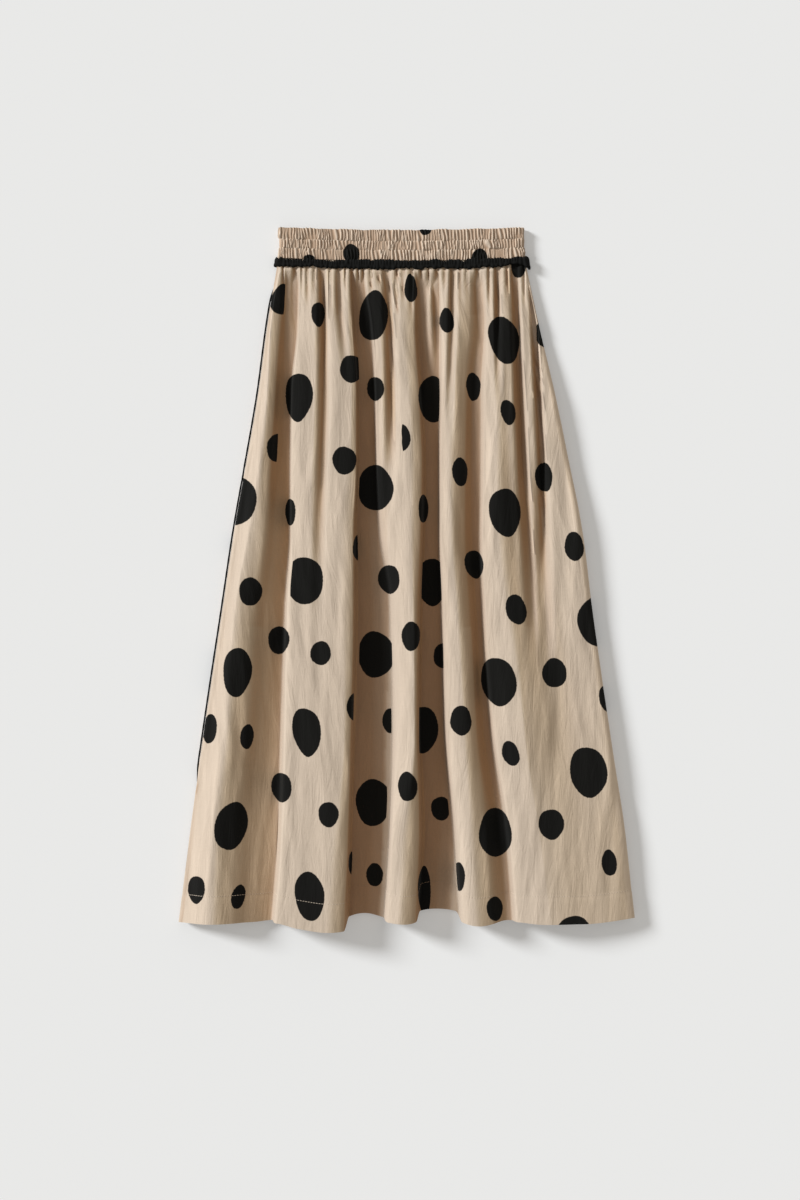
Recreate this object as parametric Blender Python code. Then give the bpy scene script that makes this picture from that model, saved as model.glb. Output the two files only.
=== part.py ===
"""A gathered A-line midi skirt, laid flat on its back panel.

Frame: +Y runs up the skirt to the waist, +X to the right, +Z up from the
surface it lies on. All sizes below are millimetres; the meshes are metres.
"Drop" is the distance down the cloth from the waist seam.

The front panel is one sheet. Its cross-section at each drop is a row of
SECTIONS: raised folds (f0 to f4) with soft tops and steep sides, between
valleys (v1 to v4) that lie on the back panel. Smaller creases that fade out
are rows of CREASES, taken off the sheet afterwards.
"""

import math

import bmesh
import bpy
import numpy as np

MM = 0.001

# ---- cloth and overall sizes
WALL = 1.2  # thickness of the cloth walls
GAP = 0.3  # between neighbouring pieces
SEAM_Y = 379.2  # height of the waist seam at the middle of the front
SEAM_RISE = 3.4  # how much higher the seam is at the two sides
BAND_HEIGHT = 36.8  # elastic waistband, from the seam to its top edge
BAND_HALF_WIDTH = 148.2
BAND_THICK = 9.4  # both layers of the casing, pressed flat
BAND_WALL = 3.2
BAND_CHANNELS = 3
TRIM_DROP = 10.0  # depth of the black frill in the seam
TRIM_THICK = 2.8
TRIM_BACK_THICK = 2.2
TRIM_SIDE_THICK = 1.6
WAIST_MID_X = -6.4
PIPING_RADIUS = 1.1
HEM_TURN = 32.0  # turned-up edge
HEM_EXTRA = 0.6  # how much thicker the wall is there
FRAME_SHIFT = (0.247, -0.2651)  # centres the finished box on the origin

# ---- the front panel, a row for each cross-section. Drops and X in mm.
SECTION_COLUMNS = (
    "drop", "side_left", "f0_mid",
    "v1_in", "v1_out", "f1_top", "f1_end",
    "v2_in", "v2_out", "f2_top", "f2_end",
    "v3_in", "v3_out", "f3_top", "f3_end",
    "v4_in", "v4_out", "f4_top", "f4_end",
    "swell", "side_right", "growth",
)  # fmt: skip
SECTIONS = (
    (12, -155.8, -151, -143, -130, -127, -68.8, -65.8, -55, -52, 8.6, 12.2, 37.6, 40.6, 74.5, 82.6, 88.6, 92.4, 125, 138.2, 143.4, 0.23),
    (80, -167.0, -161.8, -146.5, -131.5, -128.4, -65.2, -61, -44.8, -40.6, 8.6, 13.4, 38.2, 41.6, 73.6, 85.4, 92.0, 96.0, 126.2, 147.8, 158.0, 0.42),
    (160, -177.6, -166.0, -151.6, -139.6, -135.4, -60.8, -57.4, -40.6, -35.8, 13.4, 18.2, 38.2, 42.4, 68, 79, 87.6, 93.4, 121.4, 165.8, 176.6, 0.57),
    (250, -193.0, -174.0, -155.8, -140.8, -136.6, -60.6, -57.0, -38.8, -34, 17, 23, 36.8, 41, 68, 77, 86.8, 92.4, 122.6, 175.4, 195.0, 0.70),
    (330, -206.9, -186.5, -158.0, -141.2, -136.0, -64, -59.8, -35.2, -27.6, 15.8, 21.8, 36.8, 41, 68, 78.2, 85.4, 90.8, 129.8, 181.4, 210.0, 0.80),
    (415, -219.5, -202, -167.2, -146.8, -140.8, -64, -58.6, -22.4, -15, 13.4, 18.8, 39.2, 44, 73.4, 83, 87.8, 93.8, 135.8, 186.2, 220.6, 0.87),
    (570, -242.6, -214.0, -178.6, -151.6, -144.0, -67, -62.2, -19.4, -12.6, 12.2, 17, 42.8, 48.2, 80.6, 92.6, 98, 104.6, 143, 198.2, 242.0, 0.93),
    (690, -259.3, -227.0, -188.2, -154.4, -147.0, -70, -65.8, -22.0, -17.4, 14, 21.4, 53.6, 59.6, 92, 110.6, 115.8, 121.6, 159.8, 207.8, 260.2, 0.97),
    (800, -272.8, -232, -193, -162.0, -155.0, -74.8, -69.4, -28.6, -23.2, 9.8, 15.8, 61.6, 66.4, 100.4, 119.6, 124.6, 131.0, 174.2, 219.8, 272.2, 1.0),
)  # fmt: skip

# How the folds' shapes change down the skirt: a value for each of SHAPE_DROPS.
# Height of each fold's top above the surface (with growth 1), where along its
# top it is highest, and how high its two shoulders are as a share of that.
SHAPE_DROPS = (0, 190, 333, 573, 717, 800)
FOLDS = {
    "f1": {
        "height": (33, 33, 33, 33, 33, 33),
        "peak_at": (0.92, 0.92, 0.80, 0.90, 0.76, 0.74),
        "left": (0.76, 0.76, 0.80, 0.86, 0.88, 0.88),
        "right": (0.90, 0.90, 0.92, 0.88, 0.82, 0.80),
    },
    "f2": {
        "height": (32, 32, 30, 32, 32, 32),
        "peak_at": (0.60, 0.76, 0.75, 0.86, 0.38, 0.40),
        "left": (0.78, 0.70, 0.52, 0.66, 0.90, 0.86),
        "right": (0.76, 0.80, 0.80, 0.88, 0.78, 0.76),
    },
    "f3": {
        "height": (29, 29, 29, 29, 29, 29),
        "peak_at": (0.42, 0.36, 0.44, 0.60, 0.45, 0.42),
        "left": (0.80, 0.82, 0.82, 0.84, 0.88, 0.88),
        "right": (0.70, 0.64, 0.68, 0.78, 0.85, 0.82),
    },
    "f4": {
        "height": (28, 28, 28, 28, 28, 28),
        "peak_at": (0.48, 0.50, 0.50, 0.88, 0.90, 0.90),
        "left": (0.76, 0.78, 0.80, 0.84, 0.82, 0.82),
        "right": (0.86, 0.84, 0.72, 0.96, 0.98, 0.98),
    },
}
# The first fold has one top, and slopes to a foot above the first valley.
F0 = {
    "height": (28, 28, 28, 29, 29, 29),
    "middle": (0.78, 0.80, 0.90, 0.76, 0.77, 0.77),
    "foot": (0.10, 0.14, 0.46, 0.34, 0.42, 0.42),
}
SWELL_HEIGHT = (22, 22, 15.5, 17.5, 22, 22)
LOW_HEIGHT = 3.0  # growth 0 would bring every fold down to this
VALLEY_HEIGHT = {
    "v1": (4.0, 4.4, 5.2, 5.8, 6.6, 7.0),
    "v2": (3.6, 4.2, 7.0, 4.4, 3.8, 3.8),
    "v3": (3.6, 3.6, 3.8, 3.8, 3.8, 3.8),
    "v4": (4.0, 5.0, 7.0, 9.0, 13.5, 14.5),
}

# ---- creases that fade out at both ends, a row for each
CREASE_COLUMNS = ("name", "starts", "end", "x0", "x1", "x2", "x3", "depth", "deepest", "left_run", "right_run")
CREASES = (
    ("right_deep", -150, 520, 129.2, 136.2, 145.4, 152.9, 12.0, 200, 10.0, 5.0),
    ("right_edge", -150, 420, 148.4, 156.0, 162.8, 165.8, 10.5, 210, 6.0, 4.0),
    ("right_broad", 210, 560, 156.0, 158.0, 164.0, 168.0, 5.5, 330, 22.0, 9.0),
    ("first_fold", -80, 480, -100.8, -97.6, -101.6, -104.0, 8.5, 110, 9.0, 5.0),
    ("second_fold", -80, 330, -24.4, -18.4, -16.5, -22.0, 9.5, 110, 10.0, 4.5),
)

# ---- lower edge: how far down the cloth ends, along the front
HEM_LINE = (
    ("left side", -272, 789.6),
    ("first valley", -182, 789.2),
    ("first fold, left", -156, 787.6),
    ("first fold, middle", -130, 793.6),
    ("first fold, top", -93, 798.4),
    ("first fold, end", -74.9, 797.6),
    ("second valley", -69.2, 784.4),
    ("second valley, middle", -50, 780.2),
    ("second valley, end", -30.0, 784.6),
    ("second fold", -24.2, 786.6),
    ("second fold, top", 0, 788.9),
    ("second fold, end", 11.4, 787.0),
    ("third valley", 15.9, 777.6),
    ("third valley, middle", 36, 775.0),
    ("third valley, end", 58.6, 777.8),
    ("third fold", 65, 787.0),
    ("third fold, top", 88, 791.5),
    ("fourth valley", 121, 786.6),
    ("fourth fold", 166, 790.0),
    ("swell", 210, 790.0),
    ("right side", 270, 784.6),
)

# ---- the back panel: pressed flat, with soft pleats that stand up inside the
# front's folds. X at the waist and at the hem, width and height at the hem.
PLEAT_COLUMNS = ("name", "starts", "waist_x", "hem_x", "width", "height")
BACK_PLEATS = (
    ("b1", 14, -145, -214, 26, 11.0),
    ("b2", 14, -104, -112, 30, 14.0),
    ("b3", 14, -18, -2, 22, 12.0),
    ("b4", 14, 50, 79, 24, 12.0),
    ("b5", 14, 104, 146, 26, 12.0),
    ("b6", 330, 128, 214, 24, 8.0),
)
PLEAT_PROFILE = (-0.5, -0.2, 0.2, 0.5)
BACK_END = 774.0  # drop of the back panel's lower edge
BACK_CLEAR = 5.0  # sideways distance its pleats keep from the front's walls

# ---- rounded sides
ROLL_LOW = (2.5, 6.0)  # half thickness of the side roll, at the waist and from drop 200 down
ROLL_OUT = (2.5, 6.5)  # how far it reaches sideways
SIDE_LIFT = 2.5  # the sides stand this far off the surface, on their seams
SIDE_LIFT_RUN = 16.0  # how far in the back comes down from there
SEAM_ANGLE_LEFT = (78.0, 152.0)  # from the top of the roll, above and below SEAM_TURNS
SEAM_TURNS = (590.0, 650.0)
SEAM_UNDER = 84.0  # just below the waist the left seam starts further under the edge
SEAM_ANGLE_RIGHT = 158.0

ROWS = (0.3, 12, 26, 46, 72, 105, 145, 190, 240, 295, 350, 405, 465, 540, 620, 700, 768, 800)

PIPING_DROPS = ROWS[1:-1] + (798.0,)

CLOTH_COLOUR = (0.60, 0.46, 0.33, 1.0)
BLACK_COLOUR = (0.012, 0.012, 0.011, 1.0)


def smooth_table(xs, ys, x):
    """Monotone cubic through a table: no overshoot between its rows."""
    xs, ys, x = np.asarray(xs, float), np.asarray(ys, float), np.asarray(x, float)
    h, d = np.diff(xs), np.diff(ys) / np.diff(xs)
    m = np.empty(len(xs))
    m[0], m[-1] = d[0], d[-1]
    for i in range(1, len(xs) - 1):
        a, b = d[i - 1], d[i]
        m[i] = 0.0 if a * b <= 0 else (h[i - 1] + h[i]) * 3 / ((2 * h[i] + h[i - 1]) / a + (h[i] + 2 * h[i - 1]) / b)
    i = np.clip(np.searchsorted(xs, x) - 1, 0, len(xs) - 2)
    u = np.clip((x - xs[i]) / h[i], 0, 1)
    return (
        ys[i] * (1 + 2 * u) * (1 - u) ** 2
        + ys[i + 1] * u * u * (3 - 2 * u)
        + h[i] * (m[i] * u * (1 - u) ** 2 - m[i + 1] * u * u * (1 - u))
    )


def ease(a, b, x):
    u = np.clip((np.asarray(x, float) - a) / (b - a), 0, 1)
    return u * u * (3 - 2 * u)


SECTION_AT = {
    name: [row[k] for row in SECTIONS] for k, name in enumerate(SECTION_COLUMNS)
}


def at(name, drop):
    return float(smooth_table(SECTION_AT["drop"], SECTION_AT[name], drop))


def seam_y(x):
    """The waist seam dips a little towards the middle."""
    return SEAM_Y + SEAM_RISE * np.clip(np.abs(x - WAIST_MID_X) / BAND_HALF_WIDTH, 0, 1) ** 2


def roll(drop):
    """(lowest Z, half thickness, sideways reach) of the rounded sides."""
    k = ease(12, 200, drop)
    half = ROLL_LOW[0] + (ROLL_LOW[1] - ROLL_LOW[0]) * k
    out = ROLL_OUT[0] + (ROLL_OUT[1] - ROLL_OUT[0]) * k
    return SIDE_LIFT, half, out


def bed(x, drop):
    """Lowest Z of the back: on the surface, but lifted at both sides and under the waist seam."""
    _, _, out = roll(drop)
    inward = np.minimum(x - at("side_left", drop) - out, at("side_right", drop) - out - x)
    middle = SIDE_LIFT * (1 - float(ease(12, 36, drop)))
    return middle + (SIDE_LIFT - middle) * (1 - ease(0, SIDE_LIFT_RUN, inward))


def seam_angle(side, drop):
    if side > 0:
        return SEAM_ANGLE_RIGHT
    a, b = SEAM_ANGLE_LEFT
    return a + (b - a) * float(ease(*SEAM_TURNS, drop)) + SEAM_UNDER * (1 - float(ease(28, 62, drop)))


def seam_half_gap(drop):
    """Half the opening between front and back at the seam, as an angle."""
    _, half, _ = roll(drop)
    return math.degrees(GAP / (half + 1)) * (1.8 - 0.8 * float(ease(12, 200, drop)))


def roll_point(side, drop, angle, extra=0.0):
    """A point on the rounded side, at an angle from its top, moved out by extra."""
    low, half, out = roll(drop)
    edge = at("side_right" if side > 0 else "side_left", drop)
    c, s = math.cos(math.radians(angle)), math.sin(math.radians(angle))
    return (
        edge - side * out + side * (out + extra) * s,
        low + half + (half + extra) * c,
    )


def front_knots(drop):
    """Corner points (X, Z) of the front's cross-section, left seam to right seam."""
    grow = at("growth", drop)

    def shape(values):
        return float(smooth_table(SHAPE_DROPS, values, drop))

    def height(values):
        return LOW_HEIGHT + (shape(values) - LOW_HEIGHT) * grow

    low, half, out = roll(drop)
    left_seam = seam_angle(-1, drop) - seam_half_gap(drop)
    right_seam = seam_angle(1, drop) - seam_half_gap(drop)
    knots = [roll_point(-1, drop, left_seam * u) for u in (1, 0.88, 0.46, 0)]
    lift = roll_point(-1, drop, 0)[1]
    f0 = max(height(F0["height"]), lift + 0.3)
    first = shape(VALLEY_HEIGHT["v1"])
    a, b = at("f0_mid", drop), at("v1_in", drop)
    knots += [(a, f0), (a + (b - a) * 0.55, first + (f0 - first) * shape(F0["middle"]))]
    for k in (1, 2, 3, 4):
        fold, name = FOLDS[f"f{k}"], f"f{k}"
        bottom = shape(VALLEY_HEIGHT[f"v{k}"])
        foot = bottom + (f0 - bottom) * shape(F0["foot"]) if k == 1 else bottom
        top = max(height(fold["height"]), bottom + 0.2)
        x0, x1 = at(f"{name}_top", drop), at(f"{name}_end", drop)
        knots += [(at(f"v{k}_in", drop), foot), (at(f"v{k}_out", drop), bottom)]
        for u, share_up in ((0, shape(fold["left"])), (shape(fold["peak_at"]), 1.0), (1, shape(fold["right"]))):
            knots += [(x0 + (x1 - x0) * u, bottom + (top - bottom) * share_up)]
    x_swell, x_right = at("swell", drop), at("side_right", drop)
    swell = height(SWELL_HEIGHT)
    right_lift = roll_point(1, drop, 0)[1]
    swell = max(swell, right_lift + 0.3)
    knots += [(x_swell, swell)]
    knots += [(x_swell + (x_right - out - x_swell) * 0.55, swell * 0.55 + right_lift * 0.45)]
    knots += [roll_point(1, drop, right_seam * u) for u in (0, 0.46, 0.88, 1)]
    return np.array(knots)


# Faces across between one corner and the next: more on the long soft tops.
FRONT_STEPS = (1, 2, 2, 2, 2, 2, 2, 2, 5, 3, 2, 2, 2, 3, 2, 2, 2, 2, 2, 3, 2, 1, 2, 2, 5, 9, 3, 2, 2, 2, 1)


def curve_through(knots, steps):
    """Points on the soft curve through corner points, by distance along them."""
    length = np.concatenate([[0], np.cumsum(np.hypot(*np.diff(knots, axis=0).T))])
    where = np.concatenate(
        [np.linspace(length[i], length[i + 1], n, endpoint=False) for i, n in enumerate(steps)]
        + [[length[-1]]]
    )
    return np.stack(
        [smooth_table(length, knots[:, 0], where), smooth_table(length, knots[:, 1], where)], axis=1
    )


def crease_depth(x, drop):
    total = np.zeros_like(x)
    for row in CREASES:
        c = dict(zip(CREASE_COLUMNS, row))
        if not c["starts"] < drop < c["end"]:
            continue
        ends = np.linspace(0, c["end"], 4)
        mid = float(smooth_table(ends, [c["x0"], c["x1"], c["x2"], c["x3"]], drop))
        depth = c["depth"] * float(ease(c["starts"], c["deepest"], drop))
        depth *= 1 - float(ease(c["deepest"], c["end"], drop))
        run = 0.8 + 0.5 * drop / c["end"]
        reach = np.where(x < mid, c["left_run"] * run, c["right_run"] * run)
        total += depth * (1 - ease(1.0, 1.0 + reach, np.abs(x - mid)))
    return total


def front_section(drop):
    """The front's outer surface at one drop. Under the frill it is pressed flat."""
    drop = max(drop, 12)
    points = curve_through(front_knots(drop), FRONT_STEPS)
    x, z = points[:, 0], points[:, 1]
    low, half, out = roll(drop)
    left, right = at("side_left", drop) + out, at("side_right", drop) - out
    inside = (x > left - 0.01) & (x < right + 0.01)
    floor = bed(x, drop) + WALL + GAP + WALL + 0.6
    pressed = low + 2 * half
    flat = 1 - float(ease(12, 50, drop))
    folded = np.maximum(z - crease_depth(x, drop), floor)
    z = np.where(inside, folded + (pressed - folded) * flat, z)
    return np.stack([x, z], axis=1)


def hem_end(x):
    return smooth_table([r[1] for r in HEM_LINE], [r[2] for r in HEM_LINE], np.clip(x, -272, 270))


def place(sections, ends):
    """Rows of points (X, Y, Z): drop runs down from the seam to each column's end."""
    rows = []
    for drop, section in zip(ROWS, sections):
        x = section[:, 0]
        k = ease(0, 300, drop)
        y = seam_y(x * (1 - k) + WAIST_MID_X * k) - drop * ends / 800.0
        rows.append(np.stack([x, y, section[:, 1]], axis=1))
    return np.array(rows)


def front_sheet():
    """The front's outer surface, waist to hem."""
    sections = [front_section(drop) for drop in ROWS]
    return place(sections, hem_end(sections[-1][:, 0]))


def room_under_front(x, drop):
    """How high the back's outer surface may stand inside the front, at each X."""
    room = np.full(len(x), 99.0)
    for d in (max(drop - 14, 12), drop, min(drop + 14, 800)):
        front = curve_through(front_section(d), [4] * (len(front_section(d)) - 1))
        for i, place in enumerate(x):
            near = front[np.abs(front[:, 0] - place) < BACK_CLEAR, 1]
            if len(near):
                room[i] = min(room[i], near.min())
    return room - 2 * WALL - HEM_EXTRA - GAP - 0.4


def back_section(drop):
    """The back's outer (under) surface: side rolls, flat, and the soft pleats."""
    drop = max(drop, 12)
    left = seam_angle(-1, drop) + seam_half_gap(drop)
    right = seam_angle(1, drop) + seam_half_gap(drop)
    sides = [
        [roll_point(-1, drop, left + (180 - left) * u) for u in (0, 0.13, 0.55)],
        [roll_point(1, drop, right + (180 - right) * u) for u in (0.55, 0.13, 0)],
    ]
    pleats = []  # (middle, width, height) of each at this drop
    for row in BACK_PLEATS:
        p = dict(zip(PLEAT_COLUMNS, row))
        k = float(ease(p["starts"], p["starts"] + 290, drop))
        rise = p["height"] * (0.12 + 0.88 * k) * float(ease(p["starts"], p["starts"] + 46, drop))
        mid = p["waist_x"] + (p["hem_x"] - p["waist_x"]) * drop / 800.0
        pleats.append((mid, p["width"] * (0.5 + 0.5 * k), rise))
    x = [roll_point(-1, drop, 180)[0]]
    for mid, wide, _ in pleats:
        x += [mid + wide * u for u in PLEAT_PROFILE]
    x = np.array(x + [roll_point(1, drop, 180)[0]])
    lowest = bed(x, drop)
    z = lowest.copy()
    for mid, wide, rise in pleats:
        z += rise * (1 - ease(0.08, 0.5, np.abs(x - mid) / wide))
    z = np.maximum(lowest, np.minimum(z, room_under_front(x, drop)))
    return np.concatenate([sides[0], np.stack([x, z], axis=1), sides[1]])


def back_sheet():
    """The back's under surface. Its lower edge is hidden above the front's."""
    sections = [back_section(drop) for drop in ROWS]
    x = sections[-1][:, 0]
    side_end = np.where(x < 0, HEM_LINE[0][2], HEM_LINE[-1][2])
    side = np.clip((np.abs(x) - 240.0) / (np.where(x < 0, -x[0], x[-1]) - 240.0), 0, 1)
    return place(sections, BACK_END + (side_end - BACK_END) * ease(0, 1, side))


def sheet_normals(grid, facing):
    """Unit normals of a grid of points: facing +1 is the front's outer side."""
    along = np.gradient(grid, axis=0)
    across = np.gradient(grid, axis=1)
    normal = np.cross(along, across) * facing
    return normal / np.maximum(np.linalg.norm(normal, axis=2, keepdims=True), 1e-9)


def inner_side(grid, facing):
    """The other side of the wall, a little thicker where the edge is turned up."""
    thick = np.array([WALL + HEM_EXTRA * float(ease(800 - HEM_TURN - 6, 800 - HEM_TURN + 2, d)) for d in ROWS])
    return grid - sheet_normals(grid, facing) * thick[:, None, None]


def closed_shell(name, outer, inner, material):
    """Mesh between two grids of the same shape, joined round the rim."""
    rows, cols = outer.shape[:2]
    points = np.concatenate([outer.reshape(-1, 3), inner.reshape(-1, 3)]) * MM
    n = rows * cols
    faces = []
    for i in range(rows - 1):
        for j in range(cols - 1):
            a, b, c, d = i * cols + j, i * cols + j + 1, (i + 1) * cols + j + 1, (i + 1) * cols + j
            faces += [(a, d, c, b), (n + a, n + b, n + c, n + d)]
    for j in range(cols - 1):
        faces += [(j, j + 1, n + j + 1, n + j)]
        a = (rows - 1) * cols + j
        faces += [(a + 1, a, n + a, n + a + 1)]
    for i in range(rows - 1):
        a = i * cols
        faces += [(a + cols, a, n + a, n + a + cols)]
        a = i * cols + cols - 1
        faces += [(a, a + cols, n + a + cols, n + a)]
    return add_mesh(name, points, faces, material)


def add_mesh(name, points, faces, material, smooth=True):
    mesh = bpy.data.meshes.new(name)
    shifted = np.asarray(points) + np.array([FRAME_SHIFT[0], FRAME_SHIFT[1], 0]) * MM
    mesh.from_pydata([tuple(map(float, p)) for p in shifted], [], faces)
    build = bmesh.new()
    build.from_mesh(mesh)
    bmesh.ops.recalc_face_normals(build, faces=build.faces)
    build.to_mesh(mesh)
    build.free()
    if smooth:
        mesh.shade_smooth()
        mesh.set_sharp_from_angle(angle=math.radians(50))
    obj = bpy.data.objects.new(name, mesh)
    mesh.materials.append(material)
    bpy.context.scene.collection.objects.link(obj)
    return obj


def ring(name, loops, material):
    """Closed tube: a list of equal closed loops of points, joined one to the next."""
    count, size = len(loops), len(loops[0])
    points = [p for loop in loops for p in loop]
    faces = []
    for i in range(count):
        k = (i + 1) % count
        for j in range(size):
            m = (j + 1) % size
            faces.append((i * size + j, k * size + j, k * size + m, i * size + m))
    return add_mesh(name, np.array(points) * MM, faces, material)


def flat_ring_path(half_width, low, high, steps_flat, steps_round):
    """Points (X, Z) and outward directions round a flattened ring."""
    r = (high - low) / 2
    mid = (high + low) / 2
    straight = half_width - r
    path = []
    for u in np.linspace(-1, 1, steps_flat, endpoint=False):
        path.append((straight * u, high, 0, 1))
    for a in np.linspace(0, math.pi, steps_round, endpoint=False):
        path.append((straight + r * math.sin(a), mid + r * math.cos(a), math.sin(a), math.cos(a)))
    for u in np.linspace(1, -1, steps_flat, endpoint=False):
        path.append((straight * u, low, 0, -1))
    for a in np.linspace(math.pi, 2 * math.pi, steps_round, endpoint=False):
        path.append((-straight + r * math.sin(a), mid + r * math.cos(a), math.sin(a), math.cos(a)))
    return path


def waistband(material):
    """Elastic casing: stitched lines pinch it into three channels."""
    profile = []  # (share of height, how far in from the fullest)
    for c in range(BAND_CHANNELS):
        profile += [(c / BAND_CHANNELS, 0.9), ((c + 0.3) / BAND_CHANNELS, 0.1), ((c + 0.7) / BAND_CHANNELS, 0.1)]
    profile.append((1.0, 0.7))
    loops = []
    outer = flat_ring_path(BAND_HALF_WIDTH, 0, BAND_THICK, 12, 6)
    inner = flat_ring_path(BAND_HALF_WIDTH - BAND_WALL, BAND_WALL, BAND_THICK - BAND_WALL, 12, 6)
    for (x, z, nx, nz), (ix, iz, _, _) in zip(outer, inner):
        seam = float(seam_y(x + WAIST_MID_X)) + GAP
        loop = []
        for share, dip in profile:
            # The under side stays flat on the surface; the rest bulges in each channel.
            d = dip if nz > -0.5 else 0.0
            loop.append((x - nx * d + WAIST_MID_X, seam + BAND_HEIGHT * share, z - nz * d))
        loop.append((ix + WAIST_MID_X, seam + BAND_HEIGHT, iz))
        loop.append((ix + WAIST_MID_X, seam, iz))
        loops.append(loop)
    return ring("waistband", loops, material)


def waist_trim(material):
    """Frill in the seam: it lies on the panels' top edge, all round."""
    left, right = at("side_left", 12), at("side_right", 12)
    mid, half = (left + right) / 2, (right - left) / 2 + GAP
    low, thick, _ = roll(12)
    path = flat_ring_path(half, low - GAP, low + 2 * thick + GAP, 32, 5)
    loops = []
    for k, (x, z, nx, nz) in enumerate(path):
        depth = TRIM_THICK if nz > 0.3 else TRIM_BACK_THICK if nz < -0.3 else TRIM_SIDE_THICK
        if nz > 0.3:
            depth -= 0.3 + 0.3 * math.sin(k * 2.3)
        seam = float(seam_y(x + mid)) - 0.02
        end = TRIM_DROP + 0.55 * math.sin(k * 1.9 + 0.5)
        shape = ((0.0, 0.0), (0.0, depth * 0.8), (2.4, depth), (end - 2.6, depth), (end, depth * 0.6), (end, 0.0))
        loops.append([(x + nx * out + mid, seam - drop, z + nz * out) for drop, out in shape])
    return ring("waist_trim", loops, material)


def tube(name, centres, radius, sides, material):
    """Round solid along a path that runs mostly in Y."""
    centres = np.array(centres)
    along = np.gradient(centres, axis=0)
    along /= np.linalg.norm(along, axis=1, keepdims=True)
    across = np.cross(along, (0.0, 0.0, 1.0))
    across /= np.linalg.norm(across, axis=1, keepdims=True)
    other = np.cross(across, along)
    points, faces, last = [], [], len(centres) - 1
    for centre, u, v in zip(centres, across, other):
        for k in range(sides):
            a = 2 * math.pi * k / sides
            points.append(centre + radius * (math.cos(a) * u + math.sin(a) * v))
    for i in range(last):
        for k in range(sides):
            m = (k + 1) % sides
            faces.append((i * sides + k, i * sides + m, (i + 1) * sides + m, (i + 1) * sides + k))
    faces.append(tuple(range(sides)))
    faces.append(tuple(last * sides + k for k in reversed(range(sides))))
    return add_mesh(name, np.array(points) * MM, faces, material)


def piping(name, side, material):
    """Round piping outside the side seam, from under the frill to the hem."""
    centres = []
    for drop in PIPING_DROPS:
        x, z = roll_point(side, drop, seam_angle(side, drop), PIPING_RADIUS + 1.4 * GAP)
        k = float(ease(0, 300, drop))
        end = HEM_LINE[0 if side < 0 else -1][2]
        y = float(seam_y(x * (1 - k) + WAIST_MID_X * k)) - drop * end / 800.0
        centres.append((x, y, max(z, PIPING_RADIUS + 0.05)))
    return tube(name, centres, PIPING_RADIUS, 8, material)


def surface_material(name, colour, roughness, sheen):
    material = bpy.data.materials.new(name)
    material.use_nodes = True
    shader = material.node_tree.nodes["Principled BSDF"]
    shader.inputs["Base Color"].default_value = colour
    shader.inputs["Roughness"].default_value = roughness
    shader.inputs["Metallic"].default_value = 0.0
    shader.inputs["Sheen Weight"].default_value = sheen
    material.diffuse_color = colour
    return material


def main():
    for obj in list(bpy.data.objects):
        bpy.data.objects.remove(obj, do_unlink=True)
    cloth = surface_material("printed_cloth", CLOTH_COLOUR, 0.85, 0.15)
    back_cloth = surface_material("printed_cloth_back", CLOTH_COLOUR, 0.85, 0.15)
    band_cloth = surface_material("band_cloth", CLOTH_COLOUR, 0.85, 0.1)
    frill = surface_material("frill_black", BLACK_COLOUR, 0.8, 0.05)
    pipe = surface_material("piping_black", BLACK_COLOUR, 0.6, 0.0)

    front = front_sheet()
    back = back_sheet()
    closed_shell("front_panel", front, inner_side(front, 1), cloth)
    closed_shell("back_panel", back, inner_side(back, -1), back_cloth)
    waistband(band_cloth)
    waist_trim(frill)
    piping("side_piping_left", -1, pipe)
    piping("side_piping_right", 1, pipe)


main()
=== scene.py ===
"""Looks for the gathered A-line midi skirt laid flat on its back panel.

Same frame as the CAD: X right, +Y up the skirt to the waist, +Z up from the
surface. Sizes in the tables are millimetres. "Drop" is the distance down the
cloth from the waist seam. Places in the print and crease tables are given in
the picture's own 800 x 1200 frame, as seen by the camera that looks straight
down from 2 m.
"""

import math

import bmesh
import bpy
import numpy as np
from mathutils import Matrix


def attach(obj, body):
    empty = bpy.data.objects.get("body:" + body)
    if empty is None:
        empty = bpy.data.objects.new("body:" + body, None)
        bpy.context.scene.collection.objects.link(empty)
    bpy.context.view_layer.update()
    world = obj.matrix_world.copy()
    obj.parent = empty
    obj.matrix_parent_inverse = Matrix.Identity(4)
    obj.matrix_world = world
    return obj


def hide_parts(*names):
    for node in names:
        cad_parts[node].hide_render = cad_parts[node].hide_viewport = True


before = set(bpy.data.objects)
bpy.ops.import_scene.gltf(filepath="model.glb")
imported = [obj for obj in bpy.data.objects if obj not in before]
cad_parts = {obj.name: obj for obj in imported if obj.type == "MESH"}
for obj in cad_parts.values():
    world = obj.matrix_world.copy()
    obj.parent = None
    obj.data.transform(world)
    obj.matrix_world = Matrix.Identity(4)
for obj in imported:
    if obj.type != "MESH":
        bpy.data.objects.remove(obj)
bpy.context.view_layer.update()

MM = 0.001

# ---- sizes, as in the CAD
WALL = 0.8
HEM_EXTRA = 0.6
GAP = 0.3
SEAM_Y = 379.2
SEAM_RISE = 3.4
BAND_HEIGHT = 36.8
BAND_HALF_WIDTH = 148.2
BAND_THICK = 9.4
BAND_WALL = 3.2
WAIST_MID_X = -6.4
HEM_TURN = 32.0
SHIFT_X, SHIFT_Y = 0.247, -0.2651
TRIM_DROP = 10.0
PIPING_RADIUS = 1.1

# ---- camera and picture
CAMERA_X, CAMERA_Y, CAMERA_HEIGHT = -8.2 + SHIFT_X, -26.2 + SHIFT_Y, 2000.0
MM_PER_PX = 1.2

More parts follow.
